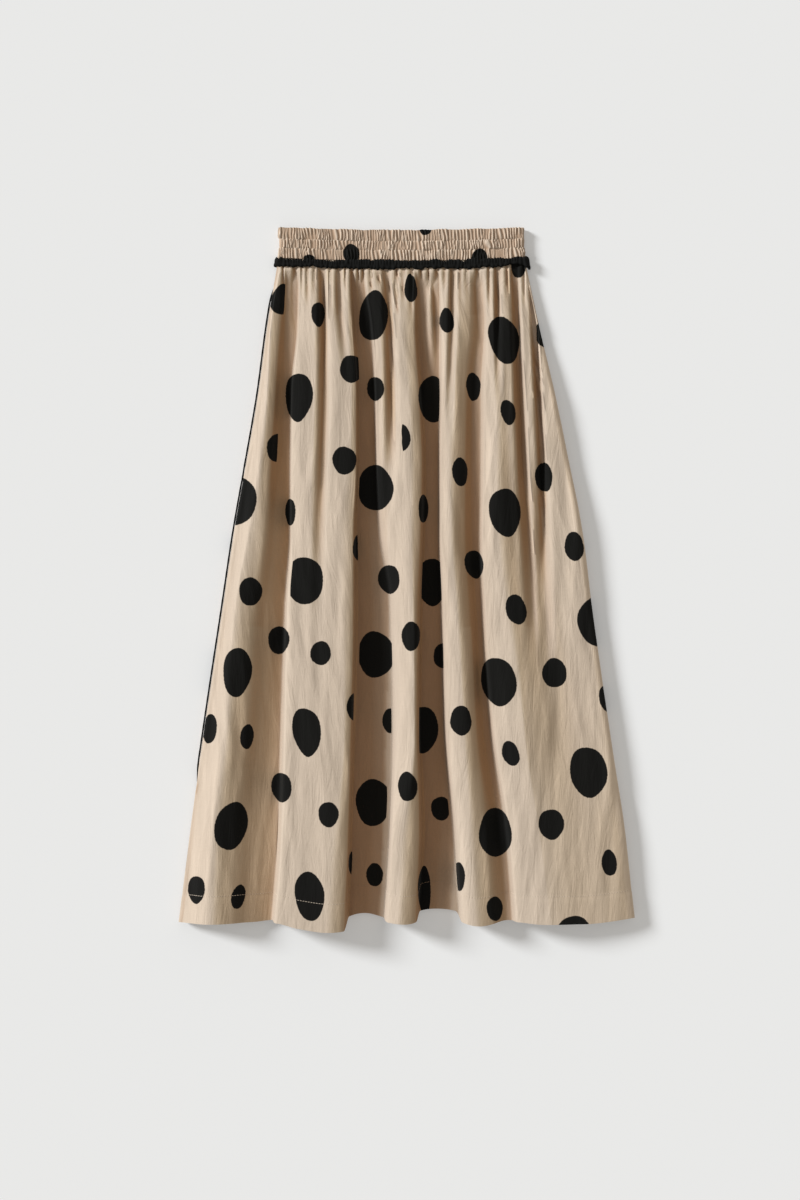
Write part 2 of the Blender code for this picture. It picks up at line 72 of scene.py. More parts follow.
SECTION_COLUMNS = (
    "drop", "side_left", "f0_mid",
    "v1_in", "v1_out", "f1_top", "f1_end",
    "v2_in", "v2_out", "f2_top", "f2_end",
    "v3_in", "v3_out", "f3_top", "f3_end",
    "v4_in", "v4_out", "f4_top", "f4_end",
    "swell", "side_right", "growth",
)  # fmt: skip
SECTIONS = (
    (12, -155.8, -151, -143, -130, -127, -68.8, -65.8, -55, -52, 8.6, 12.2, 37.6, 40.6, 74.5, 82.6, 88.6, 92.4, 125, 138.2, 143.4, 0.23),
    (80, -167.0, -161.8, -146.5, -131.5, -128.4, -65.2, -61, -44.8, -40.6, 8.6, 13.4, 38.2, 41.6, 73.6, 85.4, 92.0, 96.0, 126.2, 147.8, 158.0, 0.42),
    (160, -177.6, -166.0, -151.6, -139.6, -135.4, -60.8, -57.4, -40.6, -35.8, 13.4, 18.2, 38.2, 42.4, 68, 79, 87.6, 93.4, 121.4, 165.8, 176.6, 0.57),
    (250, -193.0, -174.0, -155.8, -140.8, -136.6, -60.6, -57.0, -38.8, -34, 17, 23, 36.8, 41, 68, 77, 86.8, 92.4, 122.6, 175.4, 195.0, 0.70),
    (330, -206.9, -186.5, -158.0, -141.2, -136.0, -64, -59.8, -35.2, -27.6, 15.8, 21.8, 36.8, 41, 68, 78.2, 85.4, 90.8, 129.8, 181.4, 210.0, 0.80),
    (415, -219.5, -202, -167.2, -146.8, -140.8, -64, -58.6, -22.4, -15, 13.4, 18.8, 39.2, 44, 73.4, 83, 87.8, 93.8, 135.8, 186.2, 220.6, 0.87),
    (570, -242.6, -214.0, -178.6, -151.6, -144.0, -67, -62.2, -19.4, -12.6, 12.2, 17, 42.8, 48.2, 80.6, 92.6, 98, 104.6, 143, 198.2, 242.0, 0.93),
    (690, -259.3, -227.0, -188.2, -154.4, -147.0, -70, -65.8, -22.0, -17.4, 14, 21.4, 53.6, 59.6, 92, 110.6, 115.8, 121.6, 159.8, 207.8, 260.2, 0.97),
    (800, -272.8, -232, -193, -162.0, -155.0, -74.8, -69.4, -28.6, -23.2, 9.8, 15.8, 61.6, 66.4, 100.4, 119.6, 124.6, 131.0, 174.2, 219.8, 272.2, 1.0),
)  # fmt: skip
# How the folds' shapes change down the skirt: a value for each of SHAPE_DROPS.
SHAPE_DROPS = (0, 190, 333, 573, 717, 800)
FOLDS = {
    "f1": {
        "height": (33, 33, 33, 33, 33, 33),
        "peak_at": (0.92, 0.92, 0.80, 0.90, 0.76, 0.74),
        "left": (0.76, 0.76, 0.80, 0.86, 0.88, 0.88),
        "right": (0.90, 0.90, 0.92, 0.88, 0.82, 0.80),
    },
    "f2": {
        "height": (32, 32, 30, 32, 32, 32),
        "peak_at": (0.60, 0.76, 0.75, 0.86, 0.38, 0.40),
        "left": (0.78, 0.70, 0.52, 0.66, 0.90, 0.86),
        "right": (0.76, 0.80, 0.80, 0.88, 0.78, 0.76),
    },
    "f3": {
        "height": (29, 29, 29, 29, 29, 29),
        "peak_at": (0.42, 0.36, 0.44, 0.60, 0.45, 0.42),
        "left": (0.80, 0.82, 0.82, 0.84, 0.88, 0.88),
        "right": (0.70, 0.64, 0.68, 0.78, 0.85, 0.82),
    },
    "f4": {
        "height": (28, 28, 28, 28, 28, 28),
        "peak_at": (0.48, 0.50, 0.50, 0.88, 0.90, 0.90),
        "left": (0.76, 0.78, 0.80, 0.84, 0.82, 0.82),
        "right": (0.86, 0.84, 0.72, 0.96, 0.98, 0.98),
    },
}
F0 = {
    "height": (28, 28, 28, 29, 29, 29),
    "middle": (0.78, 0.80, 0.90, 0.76, 0.77, 0.77),
    "foot": (0.10, 0.14, 0.46, 0.34, 0.42, 0.42),
}
SWELL_HEIGHT = (22, 22, 15.5, 17.5, 22, 22)
LOW_HEIGHT = 3.0
VALLEY_HEIGHT = {
    "v1": (4.0, 4.4, 5.2, 5.8, 6.6, 7.0),
    "v2": (3.6, 4.2, 7.0, 4.4, 3.8, 3.8),
    "v3": (3.6, 3.6, 3.8, 3.8, 3.8, 3.8),
    "v4": (4.0, 5.0, 7.0, 9.0, 13.5, 14.5),
}

# Creases that fade out: X at four places from the waist to its end, depth,
# where it is deepest, and how far its two slopes run. Negative depth is a ridge.
CREASE_COLUMNS = ("name", "starts", "end", "x0", "x1", "x2", "x3", "depth", "deepest", "left_run", "right_run")
CREASES = (
    ("right_deep", -150, 520, 129.2, 136.2, 145.4, 152.9, 12.0, 200, 10.0, 5.0),
    ("right_edge", -150, 420, 148.4, 156.0, 162.8, 165.8, 10.5, 210, 6.0, 4.0),
    ("right_broad", 210, 560, 156.0, 158.0, 164.0, 168.0, 5.5, 330, 22.0, 9.0),
    ("first_fold", -80, 480, -100.8, -97.6, -101.6, -104.0, 8.5, 110, 9.0, 5.0),
    ("second_fold", -80, 330, -24.4, -18.4, -16.5, -22.0, 9.5, 110, 10.0, 4.5),
    ("v1_side", -20, 160, -80.8, -79.8, -75.0, -69.6, 4.0, 30, 5.0, 4.0),
    ("v3_side", -20, 260, 55.4, 53.8, 51.8, 51.8, 4.5, 20, 5.0, 4.0),
    ("v4_side", -20, 200, 107.6, 108.2, 109.4, 111.8, 5.0, 25, 4.5, 3.5),
    ("v3_ridge", 16, 150, 26.0, 27.5, 29.5, 31.0, -3.6, 48, 4.0, 4.0),
)

# Gathers at the seam: where each line starts and where it is 80 mm down
# (picture px), how wide its dip is, how deep, and the drop where it has gone.
GATHER_COLUMNS = ("px", "lower_px", "width", "depth", "gone")
GATHERS = (
    (284, 283, 3, 2.6, 66), (296, 296, 6, 5.0, 112), (302.5, 302.5, 3, 3.0, 60), (308, 308.5, 3.5, 3.8, 76), (315, 315.5, 3, 3.2, 62),
    (322.5, 326, 5, 5.0, 145), (331, 331.5, 3.5, 3.6, 86), (338.5, 339.5, 4, 4.2, 92), (345.5, 347, 3, 3.0, 62),
    (352, 356, 5, 5.0, 116), (358, 361, 3, 3.4, 70), (363.5, 365, 4.5, 4.4, 98), (371, 372, 3, 3.4, 66), (378.5, 380.5, 3, 3.0, 58),
    (387.5, 391.5, 4.5, 4.8, 125), (396.5, 397.5, 3.5, 4.2, 112), (403, 404, 3, 3.6, 68), (412, 411.5, 3.5, 3.8, 88),
    (421, 423, 4.5, 4.4, 112), (428.5, 429.5, 3, 3.4, 66), (437, 439, 5.5, 5.4, 138), (444.5, 445, 3, 3.0, 56),
    (452, 452, 4.5, 4.8, 116), (460.5, 461, 3, 3.8, 76), (467, 468, 3, 3.0, 56), (477.5, 479.5, 6, 5.2, 138),
    (488.5, 489.5, 3.5, 4.0, 82), (498.5, 498.5, 4.5, 4.8, 138), (506.5, 507.5, 3, 3.4, 68), (514.5, 518, 6, 5.4, 138),
    (523, 525, 3, 3.4, 70), (529.5, 534, 5, 4.6, 145),
)  # fmt: skip

# Lower edge: how far down the cloth ends, along the front.
HEM_LINE = (
    ("left side", -272, 789.6),
    ("first valley", -182, 789.2),
    ("first fold, left", -156, 787.6),
    ("first fold, middle", -130, 793.6),
    ("first fold, top", -93, 798.4),
    ("first fold, end", -74.9, 797.6),
    ("second valley", -69.2, 784.4),
    ("second valley, middle", -50, 780.2),
    ("second valley, end", -30.0, 784.6),
    ("second fold", -24.2, 786.6),
    ("second fold, top", 0, 788.9),
    ("second fold, end", 11.4, 787.0),
    ("third valley", 15.9, 777.6),
    ("third valley, middle", 36, 775.0),
    ("third valley, end", 58.6, 777.8),
    ("third fold", 65, 787.0),
    ("third fold, top", 88, 791.5),
    ("fourth valley", 121, 786.6),
    ("fourth fold", 166, 790.0),
    ("swell", 210, 790.0),
    ("right side", 270, 784.6),
)

PLEAT_COLUMNS = ("name", "starts", "waist_x", "hem_x", "width", "height")
BACK_PLEATS = (
    ("b1", 14, -145, -214, 26, 11.0),
    ("b2", 14, -104, -112, 30, 14.0),
    ("b3", 14, -18, -2, 22, 12.0),
    ("b4", 14, 50, 79, 24, 12.0),
    ("b5", 14, 104, 146, 26, 12.0),
    ("b6", 330, 128, 214, 24, 8.0),
)
BACK_END = 774.0
BACK_CLEAR = 5.0
ROLL_LOW = (2.5, 6.0)
ROLL_OUT = (2.5, 6.5)
SIDE_LIFT = 2.5
SEAM_ANGLE_LEFT = (78.0, 152.0)
SEAM_TURNS = (590.0, 650.0)
SEAM_UNDER = 84.0  # just below the waist it starts further under the edge
SEAM_ANGLE_RIGHT = 158.0

# ---- the print, charted in the picture's frame: middle, width and
# height as seen, lean (how far the lower end goes right per unit down), egg
# (more than 0 is narrower below), and the two lines where a fold hides the rest.
DOT_COLUMNS = ("x", "y", "w", "h", "lean", "egg", "from_x", "to_x")
DOTS = (
    # large
    (283.5, 299.5, 26, 31, -0.05, -0.25, 0, 284.6),
    (237.0, 500.5, 39, 49, 0.0, 0.0, 0, 0),
    (237.2, 672.5, 29, 49, -0.06, 0.09, 0, 0),
    (231.0, 826.3, 32, 49.8, -0.29, 0.05, 0, 0),
    (298.8, 397.8, 27.6, 48, -0.04, 0.20, 0, 0),
    (304.0, 580.5, 39, 47.5, 0.0, 0.0, 291.8, 0),
    (306.8, 732.3, 28.4, 48.4, 0.12, 0.14, 0, 0),
    (309.6, 896.8, 29.4, 49.5, 0.14, 0.12, 0, 0),
    (373.5, 315.7, 29, 50, -0.13, -0.04, 0, 0),
    (375.5, 488.0, 35, 46, 0.0, 0.0, 359.2, 0),
    (375.8, 654.5, 36.5, 46.2, 0.0, 0.0, 359.3, 392.2),
    (373.2, 802.3, 35.5, 46.6, 0.0, 0.0, 0, 387.4),
    (432.5, 399.0, 28, 47, 0.0, 0.0, 0, 439.4),
    (431.5, 582.0, 30, 47.3, 0.0, 0.0, 421.6, 440.9),
    (421.5, 729.5, 34, 46.5, 0.02, 0.0, 419.3, 0),
    (424.4, 890.3, 13, 48, 0.02, 0.0, 0, 0),
    (504.2, 340.6, 29.2, 49.2, 0.25, 0.15, 0, 0),
    (505.0, 512.4, 31.4, 49, 0.08, 0.05, 0, 0),
    (498.7, 681.9, 35.6, 48.4, 0.24, 0.05, 0, 0),
    (495.3, 832.5, 32.8, 49, 0.05, -0.04, 0, 0),
    (597.5, 622.0, 39.5, 50, 0.14, 0.0, 0, 0),
    (588.5, 772.0, 37.6, 50.3, 0.12, 0.0, 0, 0),
    (575.0, 940.5, 38.5, 50, 0.10, 0.0, 0, 0),
    # small
    (318.2, 314.6, 13.4, 25, 0.06, 0.14, 0, 0),
    (410.8, 288.0, 12.8, 28.4, 0.05, -0.14, 0, 0),
    (351.8, 369.0, 24, 27.8, 0.0, 0.0, 0, 358.6),
    (375.5, 388.7, 17.2, 24, 0.0, 0.0, 0, 0),
    (446.7, 320.0, 14.4, 25.4, 0.05, -0.22, 0, 0),
    (473.4, 387.0, 14.6, 28, 0.06, 0.12, 0, 0),
    (508.2, 412.5, 15.0, 25.4, 0.20, 0.10, 0, 0),
    (545.3, 334.0, 20.5, 27, 0.12, 0.0, 0, 0),
    (278.2, 448.0, 23.6, 28, 0.0, 0.0, 0, 277.6),
    (344.4, 460.4, 24, 28.3, 0.02, 0.0, 0, 0),
    (401.2, 438.0, 18.4, 28, 0.0, 0.0, 402.2, 0),
    (460.0, 472.0, 15.4, 29.3, 0.08, 0.05, 0, 0),
    (543.8, 477.3, 17.8, 29, 0.06, 0.05, 0, 0),
    (290.4, 512.0, 10.2, 27, 0.0, 0.0, 0, 0),
    (423.4, 508.7, 9.8, 28.6, 0.0, 0.0, 0, 0),
    (361.6, 547.5, 18.4, 28, 0.0, 0.0, 0, 357.6),
    (389.0, 579.4, 22.0, 28.4, 0.10, 0.06, 0, 0),
    (474.2, 564.3, 18.6, 28.8, 0.15, 0.05, 0, 0),
    (516.2, 609.7, 20.8, 30.4, 0.28, 0.05, 0, 0),
    (574.2, 546.5, 19.5, 29, 0.10, 0.0, 0, 0),
    (250.5, 591.5, 23, 29, 0.0, 0.0, 0, 0),
    (278.7, 640.0, 21.3, 28, 0.0, 0.0, 0, 0),
    (320.7, 653.2, 20.7, 24.2, 0.0, 0.0, 0, 0),
    (411.0, 636.2, 18.8, 29.4, 0.0, 0.0, 0, 0),
    (443.0, 656.0, 19.4, 25, 0.0, 0.0, 0, 443.2),
    (554.4, 673.0, 25, 29.2, 0.10, 0.0, 0, 0),
    (608.6, 698.5, 19.0, 29, 0.16, 0.0, 0, 0),
    (209.8, 729.0, 14.4, 29.3, -0.10, 0.05, 0, 0),
    (247.0, 736.6, 13.6, 25, -0.10, 0.0, 0, 0),
    (355.0, 707.0, 16.4, 28, 0.0, 0.0, 0, 353.9),
    (391.2, 720.8, 18, 25, 0.0, 0.0, 0, 391.4),
    (461.0, 720.7, 21.8, 29.8, 0.05, 0.0, 0, 0),
    (510.7, 753.5, 17.0, 25.6, 0.34, 0.0, 0, 0),
    (281.5, 787.3, 20.6, 29.3, 0.10, 0.0, 0, 0),
    (328.5, 814.5, 20.6, 25.3, 0.0, 0.0, 0, 0),
    (407.6, 786.6, 19.6, 29.6, 0.03, 0.0, 0, 0),
    (441.0, 808.4, 20.4, 23.6, 0.05, 0.0, 0, 448.6),
    (551.3, 824.3, 25.4, 31, 0.05, 0.0, 0, 0),
    (609.3, 862.9, 15.2, 26.7, 0.12, 0.0, 0, 0),
    (196.4, 889.7, 16.8, 28.2, 0.0, 0.05, 0, 0),
    (238.3, 896.8, 13.8, 24.8, -0.26, 0.0, 0, 0),
    (352.0, 863.0, 7, 24, 0.0, 0.0, 0, 351.4),
    (374.7, 874.9, 17, 23.6, 0.05, 0.06, 0, 0),
    (458.6, 876.5, 13, 29, 0.05, 0.0, 456.8, 0),
    (494.8, 908.6, 16, 25, 0.0, 0.0, 0, 0),
    # cut by the waist seam
    (518.5, 266.0, 15, 24, 0.0, 0.0, 0, 0),
)  # fmt: skip
BAND_DOTS = (
    (425.5, 229.0, 12.5, 12, 0.0, 0.0, 0, 0),
    (351.3, 253.5, 16.5, 19, 0.0, 0.0, 0, 0),
    (479.6, 259.5, 16.5, 22, 0.0, 0.0, 0, 0),
    (309.0, 258.5, 12, 8, 0.0, 0.0, 0, 0),
    (518.5, 262.0, 14, 12, 0.0, 0.0, 0, 0),
)


# ------------------------------------------------------------------ helpers
def smooth_table(xs, ys, x):
    """Monotone cubic through a table: no overshoot between its rows."""
    xs, ys, x = np.asarray(xs, float), np.asarray(ys, float), np.asarray(x, float)
    h, d = np.diff(xs), np.diff(ys) / np.diff(xs)
    m = np.empty(len(xs))
    m[0], m[-1] = d[0], d[-1]
    for i in range(1, len(xs) - 1):
        a, b = d[i - 1], d[i]
        m[i] = 0.0 if a * b <= 0 else (h[i - 1] + h[i]) * 3 / ((2 * h[i] + h[i - 1]) / a + (h[i] + 2 * h[i - 1]) / b)
    i = np.clip(np.searchsorted(xs, x) - 1, 0, len(xs) - 2)
    u = np.clip((x - xs[i]) / h[i], 0, 1)
    return (
        ys[i] * (1 + 2 * u) * (1 - u) ** 2
        + ys[i + 1] * u * u * (3 - 2 * u)
        + h[i] * (m[i] * u * (1 - u) ** 2 - m[i + 1] * u * u * (1 - u))
    )


def ease(a, b, x):
    u = np.clip((np.asarray(x, float) - a) / (b - a), 0, 1)
    return u * u * (3 - 2 * u)


def value_noise(x, y, cell_x, cell_y, seed):
    """Soft noise from -1 to 1 on a lattice, the same every run."""
    grid = np.random.default_rng(seed).uniform(-1, 1, (128, 128))
    gx, gy = np.asarray(x) / cell_x, np.asarray(y) / cell_y
    ix, iy = np.floor(gx).astype(int), np.floor(gy).astype(int)
    fx, fy = gx - ix, gy - iy
    out = np.zeros(np.broadcast(gx, gy).shape)

    def weights(f):
        return (
            (1 - f) ** 3 / 6,
            (3 * f**3 - 6 * f**2 + 4) / 6,
            (-3 * f**3 + 3 * f**2 + 3 * f + 1) / 6,
            f**3 / 6,
        )

    for a, wa in enumerate(weights(fx)):
        for b, wb in enumerate(weights(fy)):
            out += wa * wb * grid[(ix + a - 1) % 128, (iy + b - 1) % 128]
    return out * 1.9


SECTION_AT = {name: [row[k] for row in SECTIONS] for k, name in enumerate(SECTION_COLUMNS)}


def at(name, drop):
    return float(smooth_table(SECTION_AT["drop"], SECTION_AT[name], drop))


def seam_y(x):
    return SEAM_Y + SEAM_RISE * np.clip(np.abs(x - WAIST_MID_X) / BAND_HALF_WIDTH, 0, 1) ** 2


def roll(drop):
    k = ease(12, 200, drop)
    half = ROLL_LOW[0] + (ROLL_LOW[1] - ROLL_LOW[0]) * k
    out = ROLL_OUT[0] + (ROLL_OUT[1] - ROLL_OUT[0]) * k
    return SIDE_LIFT, half, out


def lowest(drop):
    """The back's height between its sides: it comes down to the surface below the seam."""
    return SIDE_LIFT * (1 - float(ease(12, 36, drop)))


def seam_angle(side, drop):
    if side > 0:
        return SEAM_ANGLE_RIGHT
    a, b = SEAM_ANGLE_LEFT
    # The seam dips under the edge for a moment in two places.
    dips = 20 * float(ease(0, 14, 16 - abs(drop - 262))) + 16 * float(ease(0, 14, 13 - abs(drop - 327)))
    dips += SEAM_UNDER * (1 - float(ease(28, 62, drop)))
    return a + (b - a) * float(ease(*SEAM_TURNS, drop)) + dips


def seam_half_gap(drop):
    _, half, _ = roll(drop)
    return math.degrees(GAP / (half + 1)) * (1.8 - 0.8 * float(ease(12, 200, drop)))


def roll_point(side, drop, angle, extra=0.0):
    low, half, out = roll(drop)
    edge = at("side_right" if side > 0 else "side_left", drop)
    c, s = math.cos(math.radians(angle)), math.sin(math.radians(angle))
    return (
        edge - side * out + side * (out + extra) * s,
        low + half + (half + extra) * c,
    )


def front_knots(drop):
    grow = at("growth", drop)

    def shape(values):
        return float(smooth_table(SHAPE_DROPS, values, drop))

    def height(values):
        return LOW_HEIGHT + (shape(values) - LOW_HEIGHT) * grow

    low, half, out = roll(drop)
    left_seam = seam_angle(-1, drop) - seam_half_gap(drop)
    right_seam = seam_angle(1, drop) - seam_half_gap(drop)
    knots = [roll_point(-1, drop, left_seam * u) for u in (1, 0.88, 0.46, 0)]
    lift = roll_point(-1, drop, 0)[1]
    f0 = max(height(F0["height"]), lift + 0.3)
    first = shape(VALLEY_HEIGHT["v1"])
    a, b = at("f0_mid", drop), at("v1_in", drop)
    knots += [(a, f0), (a + (b - a) * 0.55, first + (f0 - first) * shape(F0["middle"]))]
    for k in (1, 2, 3, 4):
        fold, name = FOLDS[f"f{k}"], f"f{k}"
        bottom = shape(VALLEY_HEIGHT[f"v{k}"])
        foot = bottom + (f0 - bottom) * shape(F0["foot"]) if k == 1 else bottom
        top = max(height(fold["height"]), bottom + 0.2)
        x0, x1 = at(f"{name}_top", drop), at(f"{name}_end", drop)
        knots += [(at(f"v{k}_in", drop), foot), (at(f"v{k}_out", drop), bottom)]
        for u, share_up in ((0, shape(fold["left"])), (shape(fold["peak_at"]), 1.0), (1, shape(fold["right"]))):
            knots += [(x0 + (x1 - x0) * u, bottom + (top - bottom) * share_up)]
    x_swell, x_right = at("swell", drop), at("side_right", drop)
    swell = height(SWELL_HEIGHT)
    right_lift = roll_point(1, drop, 0)[1]
    swell = max(swell, right_lift + 0.3)
    knots += [(x_swell, swell)]
    knots += [(x_swell + (x_right - out - x_swell) * 0.55, swell * 0.55 + right_lift * 0.45)]
    knots += [roll_point(1, drop, right_seam * u) for u in (0, 0.46, 0.88, 1)]
    return np.array(knots)


def curve_through(knots, steps):
    length = np.concatenate([[0], np.cumsum(np.hypot(*np.diff(knots, axis=0).T))])
    where = np.concatenate(
        [np.linspace(length[i], length[i + 1], n, endpoint=False) for i, n in enumerate(steps)]
        + [[length[-1]]]
    )
    return np.stack(
        [smooth_table(length, knots[:, 0], where), smooth_table(length, knots[:, 1], where)], axis=1
    )


def crease_depth(x, drop):
    total = np.zeros_like(x)
    for row in CREASES:
        c = dict(zip(CREASE_COLUMNS, row))
        if not c["starts"] < drop < c["end"]:
            continue
        ends = np.linspace(0, c["end"], 4)
        mid = float(smooth_table(ends, [c["x0"], c["x1"], c["x2"], c["x3"]], drop))
        depth = c["depth"] * float(ease(c["starts"], c["deepest"], drop))
        depth *= 1 - float(ease(c["deepest"], c["end"], drop))
        run = 0.8 + 0.5 * drop / c["end"]
        reach = np.where(x < mid, c["left_run"] * run, c["right_run"] * run)
        total += depth * (1 - ease(1.0, 1.0 + reach, np.abs(x - mid)))
    for row in GATHERS:
        g = dict(zip(GATHER_COLUMNS, row))
        if drop >= g["gone"]:
            continue
        px = g["px"] + (g["lower_px"] - g["px"]) * drop / 80.0
        mid = (px - 406.8) * MM_PER_PX
        # it fades out slowly, so that its end makes no notch
        depth = g["depth"] * float(ease(4, 13, drop)) * (1 - float(ease(14, g["gone"], drop))) ** 1.3
        wide = g["width"] * 0.5 * MM_PER_PX * (1 + drop / 110.0)
        away = np.where(x < mid, (mid - x) / (1.35 * wide), (x - mid) / (0.75 * wide))
        total += depth * np.clip(1 - away, 0, 1) ** 1.4
    return total


def front_section(drop, steps):
    swollen = 2.2 * float(ease(9.5, 13.5, drop))  # the gathers stand up below the frill
    drop = max(drop, 12)
    points = curve_through(front_knots(drop), steps)
    x, z = points[:, 0], points[:, 1]
    low, half, out = roll(drop)
    left, right = at("side_left", drop) + out, at("side_right", drop) - out
    inside = (x > left - 0.01) & (x < right + 0.01)
    floor = lowest(drop) + 1.2 + GAP + 1.2 + 0.6
    pressed = low + 2 * half
    flat = 1 - float(ease(10, 32, drop))
    base = z + (pressed + 0.1 + swollen - z) * flat
    side = np.minimum(ease(0, 7, x - left), ease(0, 7, right - x))
    base = base + (z - base) * (1 - side) * flat
    folded = np.maximum(base - crease_depth(x, drop), floor)
    return np.stack([x, np.where(inside, folded, z)], axis=1)


def hem_end(x):
    return smooth_table([r[1] for r in HEM_LINE], [r[2] for r in HEM_LINE], np.clip(x, -272, 270))


def place(sections, ends, drops):
    rows = []
    for drop, section in zip(drops, sections):
        x = section[:, 0]
        k = ease(0, 300, drop)
        y = seam_y(x * (1 - k) + WAIST_MID_X * k) - drop * ends / 800.0
        rows.append(np.stack([x, y, section[:, 1]], axis=1))
    return np.array(rows)


def normals_of(grid, facing):
    along = np.gradient(grid, axis=0)
    across = np.gradient(grid, axis=1)
    normal = np.cross(along, across) * facing
    return normal / np.maximum(np.linalg.norm(normal, axis=2, keepdims=True), 1e-9)


def seen_px(points):
    """Where the camera sees points (mm, CAD frame before the shift), in picture px."""
    x, y, z = points[..., 0], points[..., 1], points[..., 2]
    k = CAMERA_HEIGHT / (CAMERA_HEIGHT - z)
    return (
        400 + ((x + SHIFT_X - CAMERA_X) / MM_PER_PX) * k,
        600 - ((y + SHIFT_Y - CAMERA_Y) / MM_PER_PX) * k,
    )


def dot_field(grid, table, seed):
    """Distance in mm from each point to the edge of the nearest dot, < 0 inside."""
    px, py = seen_px(grid)
    field = np.full(px.shape, 30.0)
    rng = np.random.default_rng(seed)
    for row in table:
        d = dict(zip(DOT_COLUMNS, row))
        phase = rng.uniform(0, 2 * math.pi, 3)
        a, b = d["w"] / 2, d["h"] / 2
        turn = math.atan(d["lean"])
        u0, v0 = px - d["x"], py - d["y"]
        u = u0 * math.cos(turn) - v0 * math.sin(turn)
        v = u0 * math.sin(turn) + v0 * math.cos(turn)
        wide = a * (1 - d["egg"] * np.clip(v / b, -1.2, 1.2))
        angle = np.arctan2(v / b, u / np.maximum(wide, 1))
        wobble = 1 + 0.014 * np.cos(2 * angle + phase[0]) + 0.022 * np.cos(3 * angle + phase[1])
        wobble = wobble + 0.014 * np.cos(5 * angle + phase[2])
        k = np.hypot(u / np.maximum(wide, 1), v / b) / wobble
        dist = (k - 1) / np.maximum(k, 0.25) * np.hypot(u, v) * MM_PER_PX
        dist = np.where(k < 0.25, -6.0, dist)
        for name, keep in (("from_x", 1), ("to_x", -1)):
            if d[name]:
                # The fold's line: the column that passes this place at the dot's height.
                i = int(np.argmin(np.abs(np.nanmean(py, axis=1) - d["y"])))
                near = (np.abs(px[:, :] - d[name]) + 0.8 * np.abs(py - d["y"]))
                i, j = np.unravel_index(int(np.argmin(near)), near.shape)
                column = np.arange(px.shape[1])[None, :]
                cut = (column - j) * keep < 0
                dist = np.where(np.broadcast_to(cut, dist.shape), 12.0, dist)
        field = np.minimum(field, dist)
    return np.clip(field, -8, 20)


def new_object(name, points, faces, smooth_angle=55):
    mesh = bpy.data.meshes.new(name)
    shifted = (np.asarray(points, float) + np.array([SHIFT_X, SHIFT_Y, 0])) * MM
    mesh.from_pydata(shifted.tolist(), [], faces)
    build = bmesh.new()
    build.from_mesh(mesh)
    bmesh.ops.recalc_face_normals(build, faces=build.faces)
    build.to_mesh(mesh)
    build.free()
    mesh.shade_smooth()
    if smooth_angle:
        mesh.set_sharp_from_angle(angle=math.radians(smooth_angle))
    obj = bpy.data.objects.new(name, mesh)
    bpy.context.scene.collection.objects.link(obj)
    return obj


def shell_of(name, outer, thick, facing, attributes, closed=False):
    """Thin closed shell: a fine outer grid, an inner one half as fine, and the rim.

    outer is rows x columns x 3; its rows and (open) columns are odd in number.
    With closed=True the columns run round a ring.
    """
    rows, cols = outer.shape[:2]
    if closed:
        ring_grid = np.concatenate([outer[:, -2:], outer, outer[:, :2]], axis=1)
        normal = normals_of(ring_grid, facing)[:, 2:-2]
    else:
        normal = normals_of(outer, facing)
    inner_full = outer - normal * np.asarray(thick).reshape(-1, 1, 1)
    inner = inner_full[::2, ::2]
    irows, icols = inner.shape[:2]
    points = np.concatenate([outer.reshape(-1, 3), inner.reshape(-1, 3)])
    n = rows * cols
    faces = []
    wrap = cols if closed else cols - 1
    for i in range(rows - 1):
        for j in range(wrap):
            k = (j + 1) % cols
            faces.append((i * cols + j, i * cols + k, (i + 1) * cols + k, (i + 1) * cols + j))
    iwrap = icols if closed else icols - 1
    for i in range(irows - 1):
        for j in range(iwrap):
            k = (j + 1) % icols
            faces.append((n + i * icols + j, n + (i + 1) * icols + j, n + (i + 1) * icols + k, n + i * icols + k))
    for row, irow in ((0, 0), (rows - 1, irows - 1)):
        for j in range(iwrap):
            k = (j + 1) % icols
            a, m, b = row * cols + 2 * j, row * cols + 2 * j + 1, row * cols + (2 * j + 2) % cols
            p, q = n + irow * icols + j, n + irow * icols + k
            faces += [(a, m, p), (m, q, p), (m, b, q)]
    if not closed:
        for col, icol in ((0, 0), (cols - 1, icols - 1)):
            for i in range(irows - 1):
                a, m, b = 2 * i * cols + col, (2 * i + 1) * cols + col, (2 * i + 2) * cols + col
                p, q = n + i * icols + icol, n + (i + 1) * icols + icol
                faces += [(a, m, p), (m, q, p), (m, b, q)]
    obj = new_object(name, points, faces, 60)
    for key, field in attributes.items():
        data = np.concatenate([field.reshape(n, -1), field[::2, ::2].reshape(irows * icols, -1)])
        if data.shape[1] == 1:
            layer = obj.data.attributes.new(key, "FLOAT", "POINT")
            layer.data.foreach_set("value", data.astype(np.float32).ravel())
        else:
            layer = obj.data.attributes.new(key, "FLOAT_VECTOR", "POINT")
            layer.data.foreach_set("vector", data.astype(np.float32).ravel())
    return obj


# ------------------------------------------------------------------ materials
def link(tree, a, b):
    tree.links.new(a, b)


def node(tree, kind, **inputs):
    made = tree.nodes.new(kind)
    for key, value in inputs.items():
        setattr(made, key, value)
    return made


CLOTH = (0.570, 0.466, 0.370, 1.0)
# painted shade: the warm dark colour that cloth and thread turn to where they lie shut in between folds
CLOTH_PAINTED_SHADE = (0.360, 0.220, 0.131, 1.0)
# painted shade: tint for the sides that slope away from the key light
AWAY_PAINTED_SHADE = (1.0, 0.965, 0.855, 1.0)
INK = (0.0066, 0.0063, 0.0054, 1.0)
THREAD = (0.60, 0.50, 0.40, 1.0)


